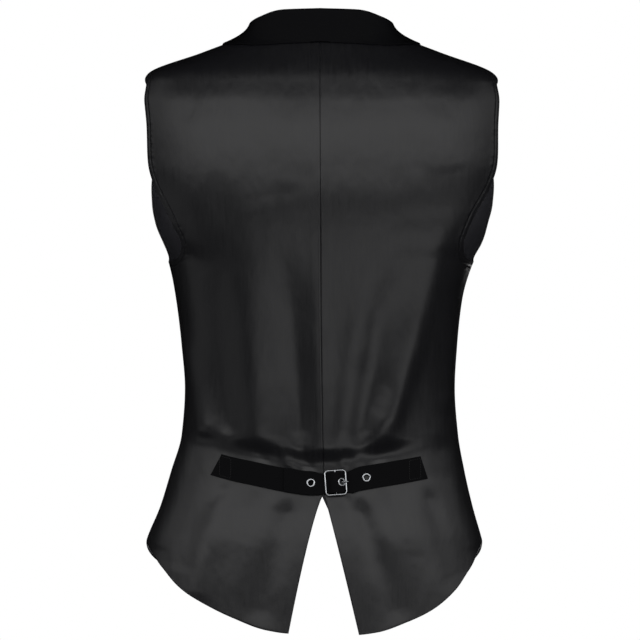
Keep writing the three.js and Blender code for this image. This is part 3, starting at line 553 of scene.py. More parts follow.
# ------------------------------------------------------------------ panels
def cloth_places(angle, z, centre):
    """Places on the flat cloth, in mm: round from a centre line, and up from the hem."""
    heights = np.linspace(-665, 10, 136)
    turns = centre + np.linspace(-125, 125, 251)
    form = torso(turns[None, :], heights[:, None])
    girth = steps_along(form, 1)
    girth -= girth[:, [len(turns) // 2]]
    risen = steps_along(form, 0)
    row = (z - heights[0]) / (heights[1] - heights[0])
    column = (angle - turns[0]) / (turns[1] - turns[0])
    i = np.clip(np.floor(row).astype(int), 0, len(heights) - 2)
    j = np.clip(np.floor(column).astype(int), 0, len(turns) - 2)
    di, dj = row - i, column - j
    places = [
        lerp(lerp(t[i, j], t[i, j + 1], dj), lerp(t[i + 1, j], t[i + 1, j + 1], dj), di)
        for t in (girth, risen)
    ]
    return np.stack(places, axis=-1)


def distance_to(points, line):
    """Distance of each point of a grid from a line of points."""
    flat = points.reshape(-1, 3)
    nearest = np.full(len(flat), np.inf)
    for start, end in zip(line[:-1], line[1:]):
        run = end - start
        t = np.clip((flat - start) @ run / (run @ run), 0, 1)
        nearest = np.minimum(nearest, np.linalg.norm(flat - start - t[:, None] * run, axis=1))
    return nearest.reshape(points.shape[:2])


def line_inside(points, distances, wanted):
    """The line on a grid that lies a wanted distance in from the edge at its last column."""
    line = []
    for row, away in zip(points, distances):
        beyond = np.flatnonzero(away >= wanted)
        if away[-1] < wanted and len(beyond):
            c = beyond[-1]
            k = (away[c] - wanted) / (away[c] - away[c + 1])
            line.append(lerp(row[c], row[c + 1], k))
    return np.array(line)


def off_seam(points, on_seam, towards):
    """Points on a side or shoulder seam, moved off its plane by half the gap."""
    points[..., 1] = np.where(on_seam, SIDE_Y + towards * SEWN / 2, points[..., 1])
    return points


def back_panel(side, materials):
    """Half the back: rows rise from the hem to the neck, columns run from the centre seam to
    the side seam, the armhole and the shoulder seam."""
    rows, columns, vent_row, hem_row, last = 272, 134, 9, 13, NECK_POINT["row"]
    half_at = left_at if side > 0 else right_at
    r = np.linspace(0, last, rows)[:, None]
    s = np.linspace(0, 1, columns)[None, :]
    edge_z, edge_angle = back_side["z"](r), back_side["back"](r)
    below = lerp(HEM_TIP, VENT_TOP, r / vent_row)
    above = lerp(VENT_TOP, NECK_DROP, (r - vent_row) / (last - vent_row))
    centre_z = np.where(r < vent_row, below, above)
    down = np.maximum(0, (VENT_TOP - centre_z) / (VENT_TOP - HEM_TIP))
    opened = VENT_HALF * down ** VENT_BOW[side]
    half_width = half_at(centre_z) * (1 + 3 * SQUARENESS) / (1 - SQUARENESS)
    start = np.degrees((SEWN / 2 + opened) / half_width)
    angle = lerp(start, 90, s) - (90 - edge_angle) * s * s
    hem_share = np.maximum(0, 1 - r / hem_row) ** 2
    hem_line = lerp(HEM_TIP, HEM_SIDE, s * s)
    z = lerp(centre_z, edge_z, s * s) + hem_share * (hem_at[side](angle) - hem_line)
    points = off_seam(cloth(side * angle, z), angle > 89.99, 1)
    armhole = points[(r[:, 0] >= ARMHOLE_FROM) & (r[:, 0] <= SHOULDER_FROM), -1]
    centre_seam = points[r[:, 0] >= vent_row, 0]
    marks = {
        "armhole": distance_to(points, armhole),
        "centre_seam": distance_to(points, centre_seam),
    }
    name = "cloth_back_left" if side > 0 else "cloth_back_right"
    places, normals = cloth_places(side * angle, z, 0), normal_of(cloth, side * angle, z)
    piece = shell(name, points, CLOTH, materials, places, side, marks=marks, normals=normals)
    return piece, line_inside(points, marks["armhole"], TOPSTITCH)


def front_panel(side, materials):
    """One front: rows rise from the hem to the shoulder seam, columns run from the front edge
    to the side seam and the armhole."""
    rows, columns, hem_rows, hem_bend = 236, 104, 10 / 30, 0.7
    t = np.linspace(0, 1, rows)[:, None]
    s = np.linspace(0, 1, columns)[None, :]
    edge_row, front_row = t * SHOULDER_FROM, t * FRONT_EDGE[-1]["row"]
    outer_z, outer_angle = front_side["z"](edge_row), front_side["front"](edge_row)
    start_z, start_x = front_edge["z"](front_row), side * front_edge["x"](front_row)
    start = np.abs(angle_at(start_x, start_z, side * 90, side * 200))
    angle = lerp(start, 180 - outer_angle, s)
    hem_share = np.maximum(0, 1 - t / hem_rows) ** 2
    hem_rise = hem_share * (outer_z - start_z) * (s**hem_bend - s)
    z = lerp(start_z, outer_z, s) + hem_rise
    points = off_seam(cloth(side * angle, z), angle < 90.01, -1)
    armhole = points[edge_row[:, 0] >= ARMHOLE_FROM, -1]
    marks = {"armhole": distance_to(points, armhole)}
    places = cloth_places(side * angle, z, side * 180)
    name = "cloth_front_left" if side > 0 else "cloth_front_right"
    normals = normal_of(cloth, side * angle, z)
    piece = shell(name, points, CLOTH, materials, places, -side, marks=marks, normals=normals)
    return piece, line_inside(points, marks["armhole"], TOPSTITCH)


# ------------------------------------------------------------------ collar
def walk(angle, z, heading, distance):
    """Moves over the form from a place, straight ahead, and returns the place reached."""
    steps = 8
    for _ in range(steps):
        around = torso(angle + 0.5, z) - torso(angle - 0.5, z)
        up = torso(angle, z + 0.5) - torso(angle, z - 0.5)
        aa, uu, au = dot(around, around), dot(up, up), dot(around, up)
        ha, hu = dot(heading, around), dot(heading, up)
        step = distance / steps / (aa * uu - au * au)
        angle = angle + step * (ha * uu - hu * au)
        z = z + step * (hu * aa - ha * au)
        normal = normal_of(torso, angle, z)
        heading = unit(heading - normal * dot(heading, normal)[..., None])
    return angle, z


def neck_seam(at, side):
    """Angle and height of the neck seam. The right lapel stops a little higher, where the
    left front crosses it."""
    top = FRONT_EDGE[-1]["row"]
    row = lerp(top, BREAK_ROW + np.where(side > 0, 0.15, 1.1), np.clip(at - 1, 0, 1))
    front_z = front_edge["z"](row)
    front_angle = angle_at(side * front_edge["x"](row), front_z, side * 90, side * 200)
    at_back = np.clip(at, 0, 1)
    angle = np.where(at <= 1, side * 90 * at_back, front_angle)
    return angle, np.where(at <= 1, lerp(NECK_DROP, 0, at_back**2), front_z)


def collar(materials):
    """A shawl collar: sections run up the stand, over the roll and down the fall."""
    per_side = 118
    steps = np.arange(-per_side, per_side + 1) / per_side
    at, side = 2 * np.abs(steps), np.where(steps < 0, -1, 1)
    angle, z = neck_seam(at, side)
    seam, normal = cloth(angle, z), normal_of(torso, angle, z)
    before = neck_seam(np.maximum(at - 0.02, 0), side)
    after = neck_seam(np.minimum(at + 0.02, 2), side)
    along = unit(torso(*after) - torso(*before))
    away = unit(np.cross(normal, along) * side[:, None])
    stand = curve(COLLAR, "at", "stand")(at)[:, None]
    fall = curve(COLLAR, "at", "fall")(at)[:, None]

    flat = smoothstep(at, 0.9, 1.45)[:, None]  # from a standing neck to a lapel lying flat
    heading = np.radians(angle)
    outward = np.stack([np.sin(heading), np.cos(heading), np.zeros_like(heading)], axis=-1)
    lean = lerp(0.1, 0.55, smoothstep(at, 0.2, 1))[:, None]
    rise = unit(lerp(unit(np.array([0, 0, 1]) - outward * lean), -away, flat))
    out = lerp(outward, normal, flat)
    out = unit(out - rise * dot(out, rise)[:, None])

    base = seam - normal * (CLOTH / 2) - away * COLLAR_GAP
    bend = base - away * (stand / 3)
    top = base + rise * stand
    centre = top + out * COLLAR_ROLL
    turn = centre + out * COLLAR_ROLL
    path = [lerp(lerp(base, bend, k), lerp(bend, top, k), k) for k in np.linspace(0, 1, 13)]
    for turned in np.radians(np.arange(162, 10, -18)):
        path.append(centre + (out * math.cos(turned) + rise * math.sin(turned)) * COLLAR_ROLL)
    for k in np.linspace(0, 1, 18):
        reached = walk(angle, z, away, fall[:, 0] * k)
        lying = cloth(*reached) + normal_of(torso, *reached) * COLLAR_LIFT
        path.append(lerp(turn - rise * stand * k, lying, k))
    points = np.stack(path, axis=1)
    places = np.stack([steps_along(points, 0), steps_along(points, 1)], axis=-1)
    return shell("cloth_collar", points, COLLAR_THICK, materials, places, 1, rise=COLLAR_THICK / 2)


# ------------------------------------------------------------------ belt
def over_back(x, z, lift):
    """A point lifted off the form of the back at x, z."""
    angle = angle_at(x, z, -90, 90)
    return torso(angle, z) + normal_of(torso, angle, z) * np.asarray(lift, float)[..., None]


# The buckle's own axes: along the belt to the wearer's left, up, and out.
BUCKLE_Z = belt_at(BUCKLE["x"])
BUCKLE_OUT = normal_of(torso, angle_at(BUCKLE["x"], BUCKLE_Z, -90, 90), BUCKLE_Z)
level = unit(np.array([1, 0, 0]) - BUCKLE_OUT * BUCKLE_OUT[0])
tilt = math.radians(BUCKLE["tilt"])
BUCKLE_ALONG = level * math.cos(tilt) + np.cross(BUCKLE_OUT, level) * math.sin(tilt)
BUCKLE_UP = np.cross(BUCKLE_ALONG, BUCKLE_OUT)
BUCKLE_BASE = over_back(BUCKLE["x"], BUCKLE_Z, 0)


def at_buckle(along, up, out):
    along, up, out = (np.asarray(v, float)[..., None] for v in (along, up, out))
    return BUCKLE_BASE + BUCKLE_ALONG * along + BUCKLE_UP * up + BUCKLE_OUT * out


def on_belt(x, up, lift):
    """A point of the belt at x, up from its centre line. Within the buckle the belt lies
    square to it."""
    x, up, lift = np.broadcast_arrays(*(np.asarray(v, float) for v in (x, up, lift)))
    within, beyond = BUCKLE["width"] * 0.62, BUCKLE["width"] * 1.15
    near = 1 - smoothstep(np.abs(x - BUCKLE["x"]), within, beyond)
    square = at_buckle(x - BUCKLE["x"], up, lift)
    return lerp(over_back(x, belt_at(x) + up, lift), square, near[..., None])


def strap(name, xs, lifts, widths, slant, materials, side):
    """A strap through lines across it at xs, with its first line slanted."""
    across = 13
    share = np.linspace(-0.5, 0.5, across)[None, :]
    lean = slant * np.maximum(0, 1 - np.abs(xs - xs[0]) / 9)
    points = on_belt(xs[:, None] - lean[:, None] * share, widths[:, None] * share, lifts[:, None])
    places = np.stack([steps_along(points, 1), steps_along(points, 0)], axis=-1)
    return shell(name, points, STRAP_THICK, materials, places, side, rise=STRAP_THICK / 2, roll=6)


def left_strap(materials):
    """Runs in to the buckle and turns back over its centre bar, slotted for the prong."""
    far = LEFT_STRAP[-1]["x"]
    xs = np.concatenate([np.linspace(far, 20, 40)[:-1], np.linspace(20, BUCKLE["x"], 45)[:-1]])
    lifts, widths = curve(LEFT_STRAP, "x", "lift")(xs), curve(LEFT_STRAP, "x", "width")(xs)
    turned = np.radians(np.arange(0, 241, 12))
    xs = np.concatenate([xs, BUCKLE["x"] - STRAP_LOOP * np.sin(turned)])
    lifts = np.concatenate([lifts, BUCKLE["lift"] - STRAP_LOOP * np.cos(turned)])
    widths = np.concatenate([widths, np.full(len(turned), NARROW)])
    piece = strap("belt_left", xs, lifts, widths, 12, materials, 1)
    half = [BUCKLE["width"] * 0.2, PRONG["slot"] / 2, BUCKLE["lift"]]
    corners = [
        at_buckle(a * half[0], u * half[1], BUCKLE["lift"] + o * half[2] * 0.9)
        for a in (-1, 1) for u in (-1, 1) for o in (-1, 1)
    ]
    sides = [(0, 1, 3, 2), (4, 6, 7, 5), (0, 4, 5, 1), (2, 3, 7, 6), (0, 2, 6, 4), (1, 5, 7, 3)]
    slot = new_piece("slot_cutter", corners, sides, [])
    return cut_by(piece, [slot])


def eyelet_place(x):
    """Centre and outward direction of an eyelet on the right strap."""
    lift = curve(RIGHT_STRAP, "x", "lift")
    ahead = on_belt(x + 1, 0, lift(x + 1)) - on_belt(x - 1, 0, lift(x - 1))
    up = on_belt(x, 1, lift(x)) - on_belt(x, -1, lift(x))
    return on_belt(x, 0, lift(x)), unit(np.cross(up, ahead))


def right_strap(materials):
    """Passes under the buckle's side, over its centre bar, under its other side and on over
    the left strap."""
    first, last = RIGHT_STRAP[0]["x"], RIGHT_STRAP[-1]["x"]
    xs = np.concatenate(
        [np.linspace(first, -36, 32)[:-1], np.linspace(-36, 4, 58)[:-1], np.linspace(4, last, 19)]
    )
    lifts, widths = curve(RIGHT_STRAP, "x", "lift")(xs), curve(RIGHT_STRAP, "x", "width")(xs)
    piece = strap("belt_right", xs, lifts, widths, -8, materials, -1)
    profile = [(0, -3), (EYELET["hole"], -3), (EYELET["hole"], 3), (0, 3)]
    cutters = [turned_piece(f"hole_{x}", profile, *eyelet_place(x), [], 28) for x in EYELETS]
    return cut_by(piece, cutters)


def cut_by(piece, cutters):
    """Cuts pieces away from another, and clears them up."""
    for cutter in cutters:
        modifier = piece.modifiers.new("cut", "BOOLEAN")
        modifier.object = cutter
        modifier.operation = "DIFFERENCE"
        modifier.solver = "EXACT"
        modifier.use_self = True
    evaluated = piece.evaluated_get(bpy.context.evaluated_depsgraph_get())
    mesh = bpy.data.meshes.new_from_object(evaluated)
    piece.modifiers.clear()
    piece.data = mesh
    mesh.name = piece.name
    for cutter in cutters:
        bpy.data.objects.remove(cutter)
    return piece


# ------------------------------------------------------------------ turned and bent work
def turned_piece(name, profile, centre, out, materials, segments):
    """A shape turned about its own axis from a profile of radius and height. A profile that
    starts and ends on the axis has a pole there, and any other one closes on itself."""
    first = unit(np.cross(out, [0, 0, 1]))
    second = np.cross(out, first)
    turns = np.linspace(0, 2 * math.pi, segments, endpoint=False)
    vertices, loops = [], []
    for radius, height in profile:
        count = segments if radius > 0 else 1
        loops.append(np.full(segments, len(vertices)) + (np.arange(segments) if count > 1 else 0))
        for turn in turns[:count]:
            across = first * math.cos(turn) + second * math.sin(turn)
            vertices.append(centre + out * height + across * radius)
    pairs = list(zip(loops[:-1], loops[1:]))
    if profile[0][0] > 0:
        pairs.append((loops[-1], loops[0]))
    faces = []
    for low, high in pairs:
        for a, b, c, d in zip(low, np.roll(low, -1), np.roll(high, -1), high):
            faces += [face for face in ((a, b, c), (a, c, d)) if len(set(face)) == 3]
    return new_piece(name, vertices, faces, materials)


def wire_shape(path, radius, reference, closed, sides=18):
    """Vertices and triangles of a round wire along a path that lies square to reference. An
    open one has round ends."""
    path = np.asarray(path, float)
    if closed:
        tangents = unit(np.roll(path, -1, axis=0) - np.roll(path, 1, axis=0))
    else:
        tangents = unit(np.gradient(path, axis=0))
    radii = np.full(len(path), radius)
    if not closed:
        caps = np.radians([80, 60, 40, 20])
        head = [path[0] - tangents[0] * radius * math.sin(a) for a in caps]
        tail = [path[-1] + tangents[-1] * radius * math.sin(a) for a in caps[::-1]]
        path = np.concatenate([head, path, tail])
        tangents = np.concatenate([[tangents[0]] * 4, tangents, [tangents[-1]] * 4])
        shrunk = radius * np.cos(caps)
        radii = np.concatenate([shrunk, radii, shrunk[::-1]])
    beside = unit(np.cross(reference, tangents))
    turns = np.linspace(0, 2 * math.pi, sides, endpoint=False)
    rings = [
        p + r * (b * math.cos(turn) + reference * math.sin(turn))
        for p, r, b in zip(path, radii, beside)
        for turn in turns
    ]
    faces = []
    for i in range(len(path) if closed else len(path) - 1):
        low = i * sides + np.arange(sides)
        high = (i + 1) % len(path) * sides + np.arange(sides)
        for a, b, c, d in zip(low, np.roll(low, -1), np.roll(high, -1), high):
            faces += [(a, b, c), (a, c, d)]
    if not closed:
        count = len(rings)
        rings += [path[0] - tangents[0] * radius * 0.02, path[-1] + tangents[-1] * radius * 0.02]
        last = (len(path) - 1) * sides
        for a, b in zip(range(sides), [*range(1, sides), 0]):
            faces += [(count, b, a), (count + 1, last + a, last + b)]
    return np.array(rings), np.array(faces)


def smooth_path(points, per_span):
    """An even smooth path through points."""
    points = np.asarray(points, float)
    ends = np.concatenate([[2 * points[0] - points[1]], points, [2 * points[-1] - points[-2]]])
    path = []
    for p0, p1, p2, p3 in zip(ends, ends[1:], ends[2:], ends[3:]):
        for t in np.arange(per_span) / per_span:
            path.append(
                0.5 * (2 * p1 + (p2 - p0) * t + (2 * p0 - 5 * p1 + 4 * p2 - p3) * t**2
                       + (3 * p1 - p0 - 3 * p2 + p3) * t**3)
            )
    return np.array([*path, points[-1]])


def buckle_frame(materials):
    """A rounded rectangle of wire with a centre bar."""
    half_wide, half_high, corner = BUCKLE["width"] / 2, BUCKLE["height"] / 2, BUCKLE["corner"]
    rim = []
    for sign_x, sign_y, first in ((1, 1, 0), (-1, 1, 90), (-1, -1, 180), (1, -1, 270)):
        for turn in np.radians(first + np.linspace(0, 90, 10)):
            x = sign_x * (half_wide - corner) + corner * math.cos(turn)
            y = sign_y * (half_high - corner) + corner * math.sin(turn)
            rim.append(at_buckle(x, y, BUCKLE["lift"]))
    bar = [at_buckle(0, y, BUCKLE["lift"]) for y in np.linspace(-half_high, half_high, 8)]
    wires = [
        wire_shape(rim, BUCKLE["wire"] / 2, BUCKLE_OUT, True),
        wire_shape(bar, BUCKLE["wire"] / 2, BUCKLE_OUT, False),
    ]
    vertices = np.concatenate([wires[0][0], wires[1][0]])
    faces = np.concatenate([wires[0][1], wires[1][1][:, ::-1] + len(wires[0][0])])
    return new_piece("buckle_wire", vertices, faces, materials)


def buckle_prong(materials):
    """Hooks round the centre bar, comes up through an eyelet and rests on the side bar."""
    hook = BUCKLE["wire"] / 2 + PRONG["clear"] + PRONG["wire"] / 2
    points = []
    for turn in np.radians(np.arange(110, -101, -30)):
        points.append(at_buckle(hook * math.cos(turn), 0, BUCKLE["lift"] + hook * math.sin(turn)))
    reach = EYELETS[1] - BUCKLE["x"]
    points.append(at_buckle(reach * 0.55, 0, BUCKLE["lift"] - 1.3))
    points.append(at_buckle(reach, 0, BUCKLE["lift"] + 0.5))
    points.append(at_buckle(-BUCKLE["width"] / 2, 0, BUCKLE["lift"] + hook + 0.1))
    points.append(at_buckle(-PRONG["reach"], 0, BUCKLE["lift"] + hook + 0.2))
    path = smooth_path(points, 6)
    return new_piece("prong_wire", *wire_shape(path, PRONG["wire"] / 2, BUCKLE_UP, False), materials)


def eyelet(number, x, materials):
    """A ring with a rolled flange in front and a flat leaf behind the strap."""
    half = STRAP_THICK / 2 + EYELET["clear"]
    bore, flange, leaf = EYELET["bore"], EYELET["flange"], EYELET["leaf"]
    middle, reach = (bore + flange) / 2, (flange - bore) / 2
    profile = [
        (middle + reach * math.cos(a), half + leaf * math.sin(a))
        for a in np.radians(np.arange(0, 181, 20))
    ]
    profile += [(bore, -half - 0.25), (bore + 1.2, -half - 0.25), (bore + 1.2, -half)]
    profile += [(bore + 0.4, -half), (bore + 0.4, half)]
    return turned_piece(f"eyelet_ring_{number}", profile, *eyelet_place(x), materials, 40)


def button_place(number):
    """Centre of a button's underside and its outward direction."""
    z = BUTTONS["first"] - number * BUTTONS["pitch"]
    angle = angle_at(0, z, 90, 200)
    out = normal_of(cloth, angle, z)
    return cloth(angle, z) + out * BUTTON["clear"], out


def button(number, materials):
    """A turned disc with a rounded rim, a dished middle and four holes."""
    centre, out = button_place(number)
    radius, thick, rim = BUTTON["radius"], BUTTON["thick"], BUTTON["rim"]
    dish = thick - 0.75
    profile = [(0, 0), (radius - 1.6, 0), (radius - 0.9, 0.25), (radius - 0.2, 0.9), (radius, 1.5)]
    profile += [
        (radius - rim / 2 + rim / 2 * math.cos(a), thick - 0.7 + 0.7 * math.sin(a))
        for a in np.radians(np.arange(0, 166, 15))
    ]
    profile += [(radius - rim - 0.35, dish + 0.28), (radius - rim - 1, dish + 0.06)]
    profile += [(radius - rim - 1.8, dish), (radius * 0.3, dish), (0, dish)]
    disc = turned_piece(f"button_disc_{number + 1}", profile, centre, out, materials, 56)
    first, second = button_axes(out)
    cutters = []
    for turn in np.radians([45, 135, 225, 315]):
        middle = centre + (first * math.cos(turn) + second * math.sin(turn)) * BUTTON["spread"]
        hole = [(0, -1), (BUTTON["hole"] * 0.8, -1), (BUTTON["hole"] * 0.8, 4), (0, 4)]
        cutters.append(turned_piece("hole", hole, middle, out, [], 16))
    return cut_by(disc, cutters)


def button_axes(out):
    first = unit(np.cross([0, 0, 1], out))
    return first, np.cross(out, first)


# ------------------------------------------------------------------ finishes
def colour(value):
    """An sRGB hex value as a linear colour."""
    parts = [int(value[i : i + 2], 16) / 255 for i in (1, 3, 5)]
    return (*(p / 12.92 if p <= 0.04045 else ((p + 0.055) / 1.055) ** 2.4 for p in parts), 1)


def add(tree, kind, inputs=(), **settings):
    """Adds a node with its settings. An input is a value, the output of another node, or a
    node, for its first output."""
    node = tree.nodes.new(kind)
    for key, value in settings.items():
        setattr(node, key, value)
    for key, value in dict(inputs).items():
        if isinstance(value, bpy.types.Node):
            value = value.outputs[0]
        if isinstance(value, bpy.types.NodeSocket):
            tree.links.new(value, node.inputs[key])
        else:
            node.inputs[key].default_value = value
    return node


def new_material(name):
    """A material with an empty node tree."""
    material = bpy.data.materials.new(name)
    material.use_nodes = True
    tree = material.node_tree
    tree.nodes.clear()
    return material, tree


def finish(material, pattern, dark, light, inputs):
    """Ends a material with a surface whose colour runs from dark to light by a pattern."""
    tree = material.node_tree
    shade = add(
        tree, "ShaderNodeMix", {0: pattern, 6: colour(dark), 7: colour(light)}, data_type="RGBA"
    )
    surface = add(tree, "ShaderNodeBsdfPrincipled", {"Base Color": shade.outputs[2], **inputs})
    add(tree, "ShaderNodeOutputMaterial", {"Surface": surface})
    return material


def satin_finish():
    """Polyester satin lining cloth: long warp floats that run down the cloth spread the
    light sideways, so that it gleams where it tilts up and goes dark where it is level."""
    material, tree = new_material("black_polyester_satin")
    place = add(tree, "ShaderNodeUVMap", uv_map="cloth")
    tangent = add(tree, "ShaderNodeTangent", direction_type="UV_MAP", uv_map="cloth")

    # Warp threads lie 0.08 mm apart, too fine to show, and are drawn as slubs 1.5 mm wide.
    stretched = add(tree, "ShaderNodeMapping", {0: place, "Scale": (650, 26, 1)})
    slubs = add(tree, "ShaderNodeTexNoise", {"Vector": stretched, "Scale": 1, "Detail": 3})
    soft = add(tree, "ShaderNodeMapping", {0: place, "Scale": (42, 24, 1)})
    rumples = add(
        tree, "ShaderNodeTexNoise", {"Vector": soft, "Scale": 1, "Detail": 2.5, "Roughness": 0.45}
    )

    rough = add(tree, "ShaderNodeMapRange", {0: slubs, 1: 0.3, 2: 0.7, 3: 0.33, 4: 0.39})

    # Sewing 6.5 mm inside the armholes draws the cloth in along a line, with small puckers.
    armhole = add(tree, "ShaderNodeAttribute", attribute_name="armhole").outputs["Fac"]
    from_line = add(tree, "ShaderNodeMath", {0: armhole, 1: TOPSTITCH}, operation="SUBTRACT")
    away = add(tree, "ShaderNodeMath", {0: from_line}, operation="ABSOLUTE")
    dip = add(
        tree, "ShaderNodeMapRange", {0: away, 1: 0, 2: 2.4, 3: -0.5, 4: 0}, interpolation_type="SMOOTHSTEP"
    )
    near = add(
        tree, "ShaderNodeMapRange", {0: away, 1: 0, 2: 9, 3: 1, 4: 0}, interpolation_type="SMOOTHSTEP"
    )
    gather = add(tree, "ShaderNodeMapping", {0: place, "Scale": (110, 150, 1)})
    puckers = add(tree, "ShaderNodeTexNoise", {"Vector": gather, "Scale": 1, "Detail": 1})
    drawn = add(tree, "ShaderNodeMath", {0: puckers, 1: near}, operation="MULTIPLY")

    # The centre back seam is pressed open: a low ridge with a dark line at either side.
    seam = add(tree, "ShaderNodeAttribute", attribute_name="centre_seam").outputs["Fac"]
    ridge = add(
        tree, "ShaderNodeMapRange", {0: seam, 1: 0.6, 2: 3.4, 3: 0.16, 4: 0}, interpolation_type="SMOOTHSTEP"
    )
    allowance = add(
        tree, "ShaderNodeMapRange", {0: seam, 1: 9, 2: 13, 3: 0.1, 4: 0}, interpolation_type="SMOOTHSTEP"
    )

    sewn = add(tree, "ShaderNodeMath", {0: ridge, 1: allowance}, operation="ADD")
    sewn = add(tree, "ShaderNodeMath", {0: sewn, 1: dip}, operation="ADD")
    sewn = add(tree, "ShaderNodeMath", {0: drawn, 1: 0.8, 2: sewn}, operation="MULTIPLY_ADD")
    sewn = add(tree, "ShaderNodeMath", {0: rumples, 1: 0.9, 2: sewn}, operation="MULTIPLY_ADD")
    relief = add(tree, "ShaderNodeMath", {0: slubs, 1: 0.03, 2: sewn}, operation="MULTIPLY_ADD")
    bump = add(tree, "ShaderNodeBump", {"Strength": 1, "Distance": MM, "Height": relief})
    return finish(material, slubs, "#09090b", "#101013", {
        "Roughness": rough, "IOR": 1.5, "Anisotropic": 0.55, "Tangent": tangent, "Normal": bump,
    })


def jacquard_finish():
    """Woven black on black: figures of smooth satin floats on a dull ribbed ground, so that
    they show only by their gloss. A vine with leaves and rosettes, 60 by 84 mm."""
    material, tree = new_material("black_jacquard_weave")
    place = add(tree, "ShaderNodeUVMap", uv_map="cloth")
    tangent = add(tree, "ShaderNodeTangent", direction_type="UV_MAP", uv_map="cloth")
    split = add(tree, "ShaderNodeSeparateXYZ", {0: place})
    wide, high = 0.06, 0.084

    # Columns of the repeat, each dropped by half of it from the one before.
    column = add(tree, "ShaderNodeMath", {0: split.outputs[0], 1: wide}, operation="DIVIDE")
    number = add(tree, "ShaderNodeMath", {0: column}, operation="FLOOR")
    across = add(tree, "ShaderNodeMath", {0: column}, operation="FRACT")
    row = add(tree, "ShaderNodeMath", {0: split.outputs[1], 1: high}, operation="DIVIDE")
    row = add(tree, "ShaderNodeMath", {0: number, 1: 0.5, 2: row}, operation="MULTIPLY_ADD")
    up = add(tree, "ShaderNodeMath", {0: row}, operation="FRACT")
    x = add(
        tree, "ShaderNodeMath", {0: across, 1: wide * 1000, 2: -wide * 500}, operation="MULTIPLY_ADD"
    )
    y = add(tree, "ShaderNodeMath", {0: up, 1: high * 1000, 2: -high * 500}, operation="MULTIPLY_ADD")

    # The vine sways 11 mm to either side once a repeat.
    swing = add(tree, "ShaderNodeMath", {0: y, 1: 2 * math.pi / (high * 1000)}, operation="MULTIPLY")
    swing = add(tree, "ShaderNodeMath", {0: swing}, operation="SINE")
    from_vine = add(tree, "ShaderNodeMath", {0: swing, 1: -11, 2: x}, operation="MULTIPLY_ADD")
    beside = add(tree, "ShaderNodeMath", {0: from_vine}, operation="ABSOLUTE")
    stem = add(tree, "ShaderNodeMapRange", {0: beside, 1: 0.7, 2: 1.1, 3: 1, 4: 0})

    # Leaves: pointed ovals 14 mm apart on both sides of the vine, aslant.
    slanted = add(tree, "ShaderNodeMath", {0: beside, 1: -0.8, 2: y}, operation="MULTIPLY_ADD")
    leaf_row = add(tree, "ShaderNodeMath", {0: slanted, 1: 14}, operation="DIVIDE")
    leaf_row = add(tree, "ShaderNodeMath", {0: leaf_row}, operation="FRACT")
    leaf_y = add(tree, "ShaderNodeMath", {0: leaf_row, 1: 14, 2: -7}, operation="MULTIPLY_ADD")
    leaf_y = add(tree, "ShaderNodeMath", {0: leaf_y}, operation="ABSOLUTE")
    leaf_x = add(tree, "ShaderNodeMath", {0: beside, 1: -6.4}, operation="ADD")
    leaf_x = add(tree, "ShaderNodeMath", {0: leaf_x, 1: 5}, operation="DIVIDE")
    leaf_x = add(tree, "ShaderNodeMath", {0: leaf_x, 1: 2}, operation="POWER")
    leaf_edge = add(tree, "ShaderNodeMath", {0: leaf_x, 1: -3.4, 2: 3.4}, operation="MULTIPLY_ADD")
    in_leaf = add(tree, "ShaderNodeMath", {0: leaf_edge, 1: leaf_y}, operation="SUBTRACT")
    leaf = add(tree, "ShaderNodeMapRange", {0: in_leaf, 1: 0, 2: 0.5, 3: 0, 4: 1})
    vein = add(tree, "ShaderNodeMapRange", {0: leaf_y, 1: 0.25, 2: 0.6, 3: 0, 4: 1})
    leaf = add(tree, "ShaderNodeMath", {0: leaf, 1: vein}, operation="MULTIPLY")

    # Rosettes of eight petals fill the bays on the columns' edges.
    flip = add(tree, "ShaderNodeMath", {0: x}, operation="ABSOLUTE")
    rose_x = add(tree, "ShaderNodeMath", {0: flip, 1: -wide * 500}, operation="ADD")
    rose_up = add(tree, "ShaderNodeMath", {0: y}, operation="ABSOLUTE")
    rose_y = add(tree, "ShaderNodeMath", {0: rose_up, 1: -high * 250}, operation="ADD")
    spoke = add(tree, "ShaderNodeMath", {0: rose_y, 1: rose_x}, operation="ARCTAN2")
    lobes = add(tree, "ShaderNodeMath", {0: spoke, 1: 8}, operation="MULTIPLY")
    lobes = add(tree, "ShaderNodeMath", {0: lobes}, operation="COSINE")
    petal = add(tree, "ShaderNodeMath", {0: lobes, 1: 1.3, 2: 7.6}, operation="MULTIPLY_ADD")
    flat = add(tree, "ShaderNodeCombineXYZ", {0: rose_x, 1: rose_y})
    radius = add(tree, "ShaderNodeVectorMath", {0: flat}, operation="LENGTH").outputs["Value"]
    in_rose = add(tree, "ShaderNodeMath", {0: petal, 1: radius}, operation="SUBTRACT")
    rose = add(tree, "ShaderNodeMapRange", {0: in_rose, 1: 0, 2: 0.5, 3: 0, 4: 1})
    ring = add(tree, "ShaderNodeMath", {0: radius, 1: 3.4}, operation="SUBTRACT")
    ring = add(tree, "ShaderNodeMath", {0: ring}, operation="ABSOLUTE")
    ring = add(tree, "ShaderNodeMapRange", {0: ring, 1: 0.4, 2: 0.8, 3: 0, 4: 1})
    rose = add(tree, "ShaderNodeMath", {0: rose, 1: ring}, operation="MULTIPLY")

    figure = add(tree, "ShaderNodeMath", {0: stem, 1: leaf}, operation="MAXIMUM")
    figure = add(tree, "ShaderNodeMath", {0: figure, 1: rose}, operation="MAXIMUM")

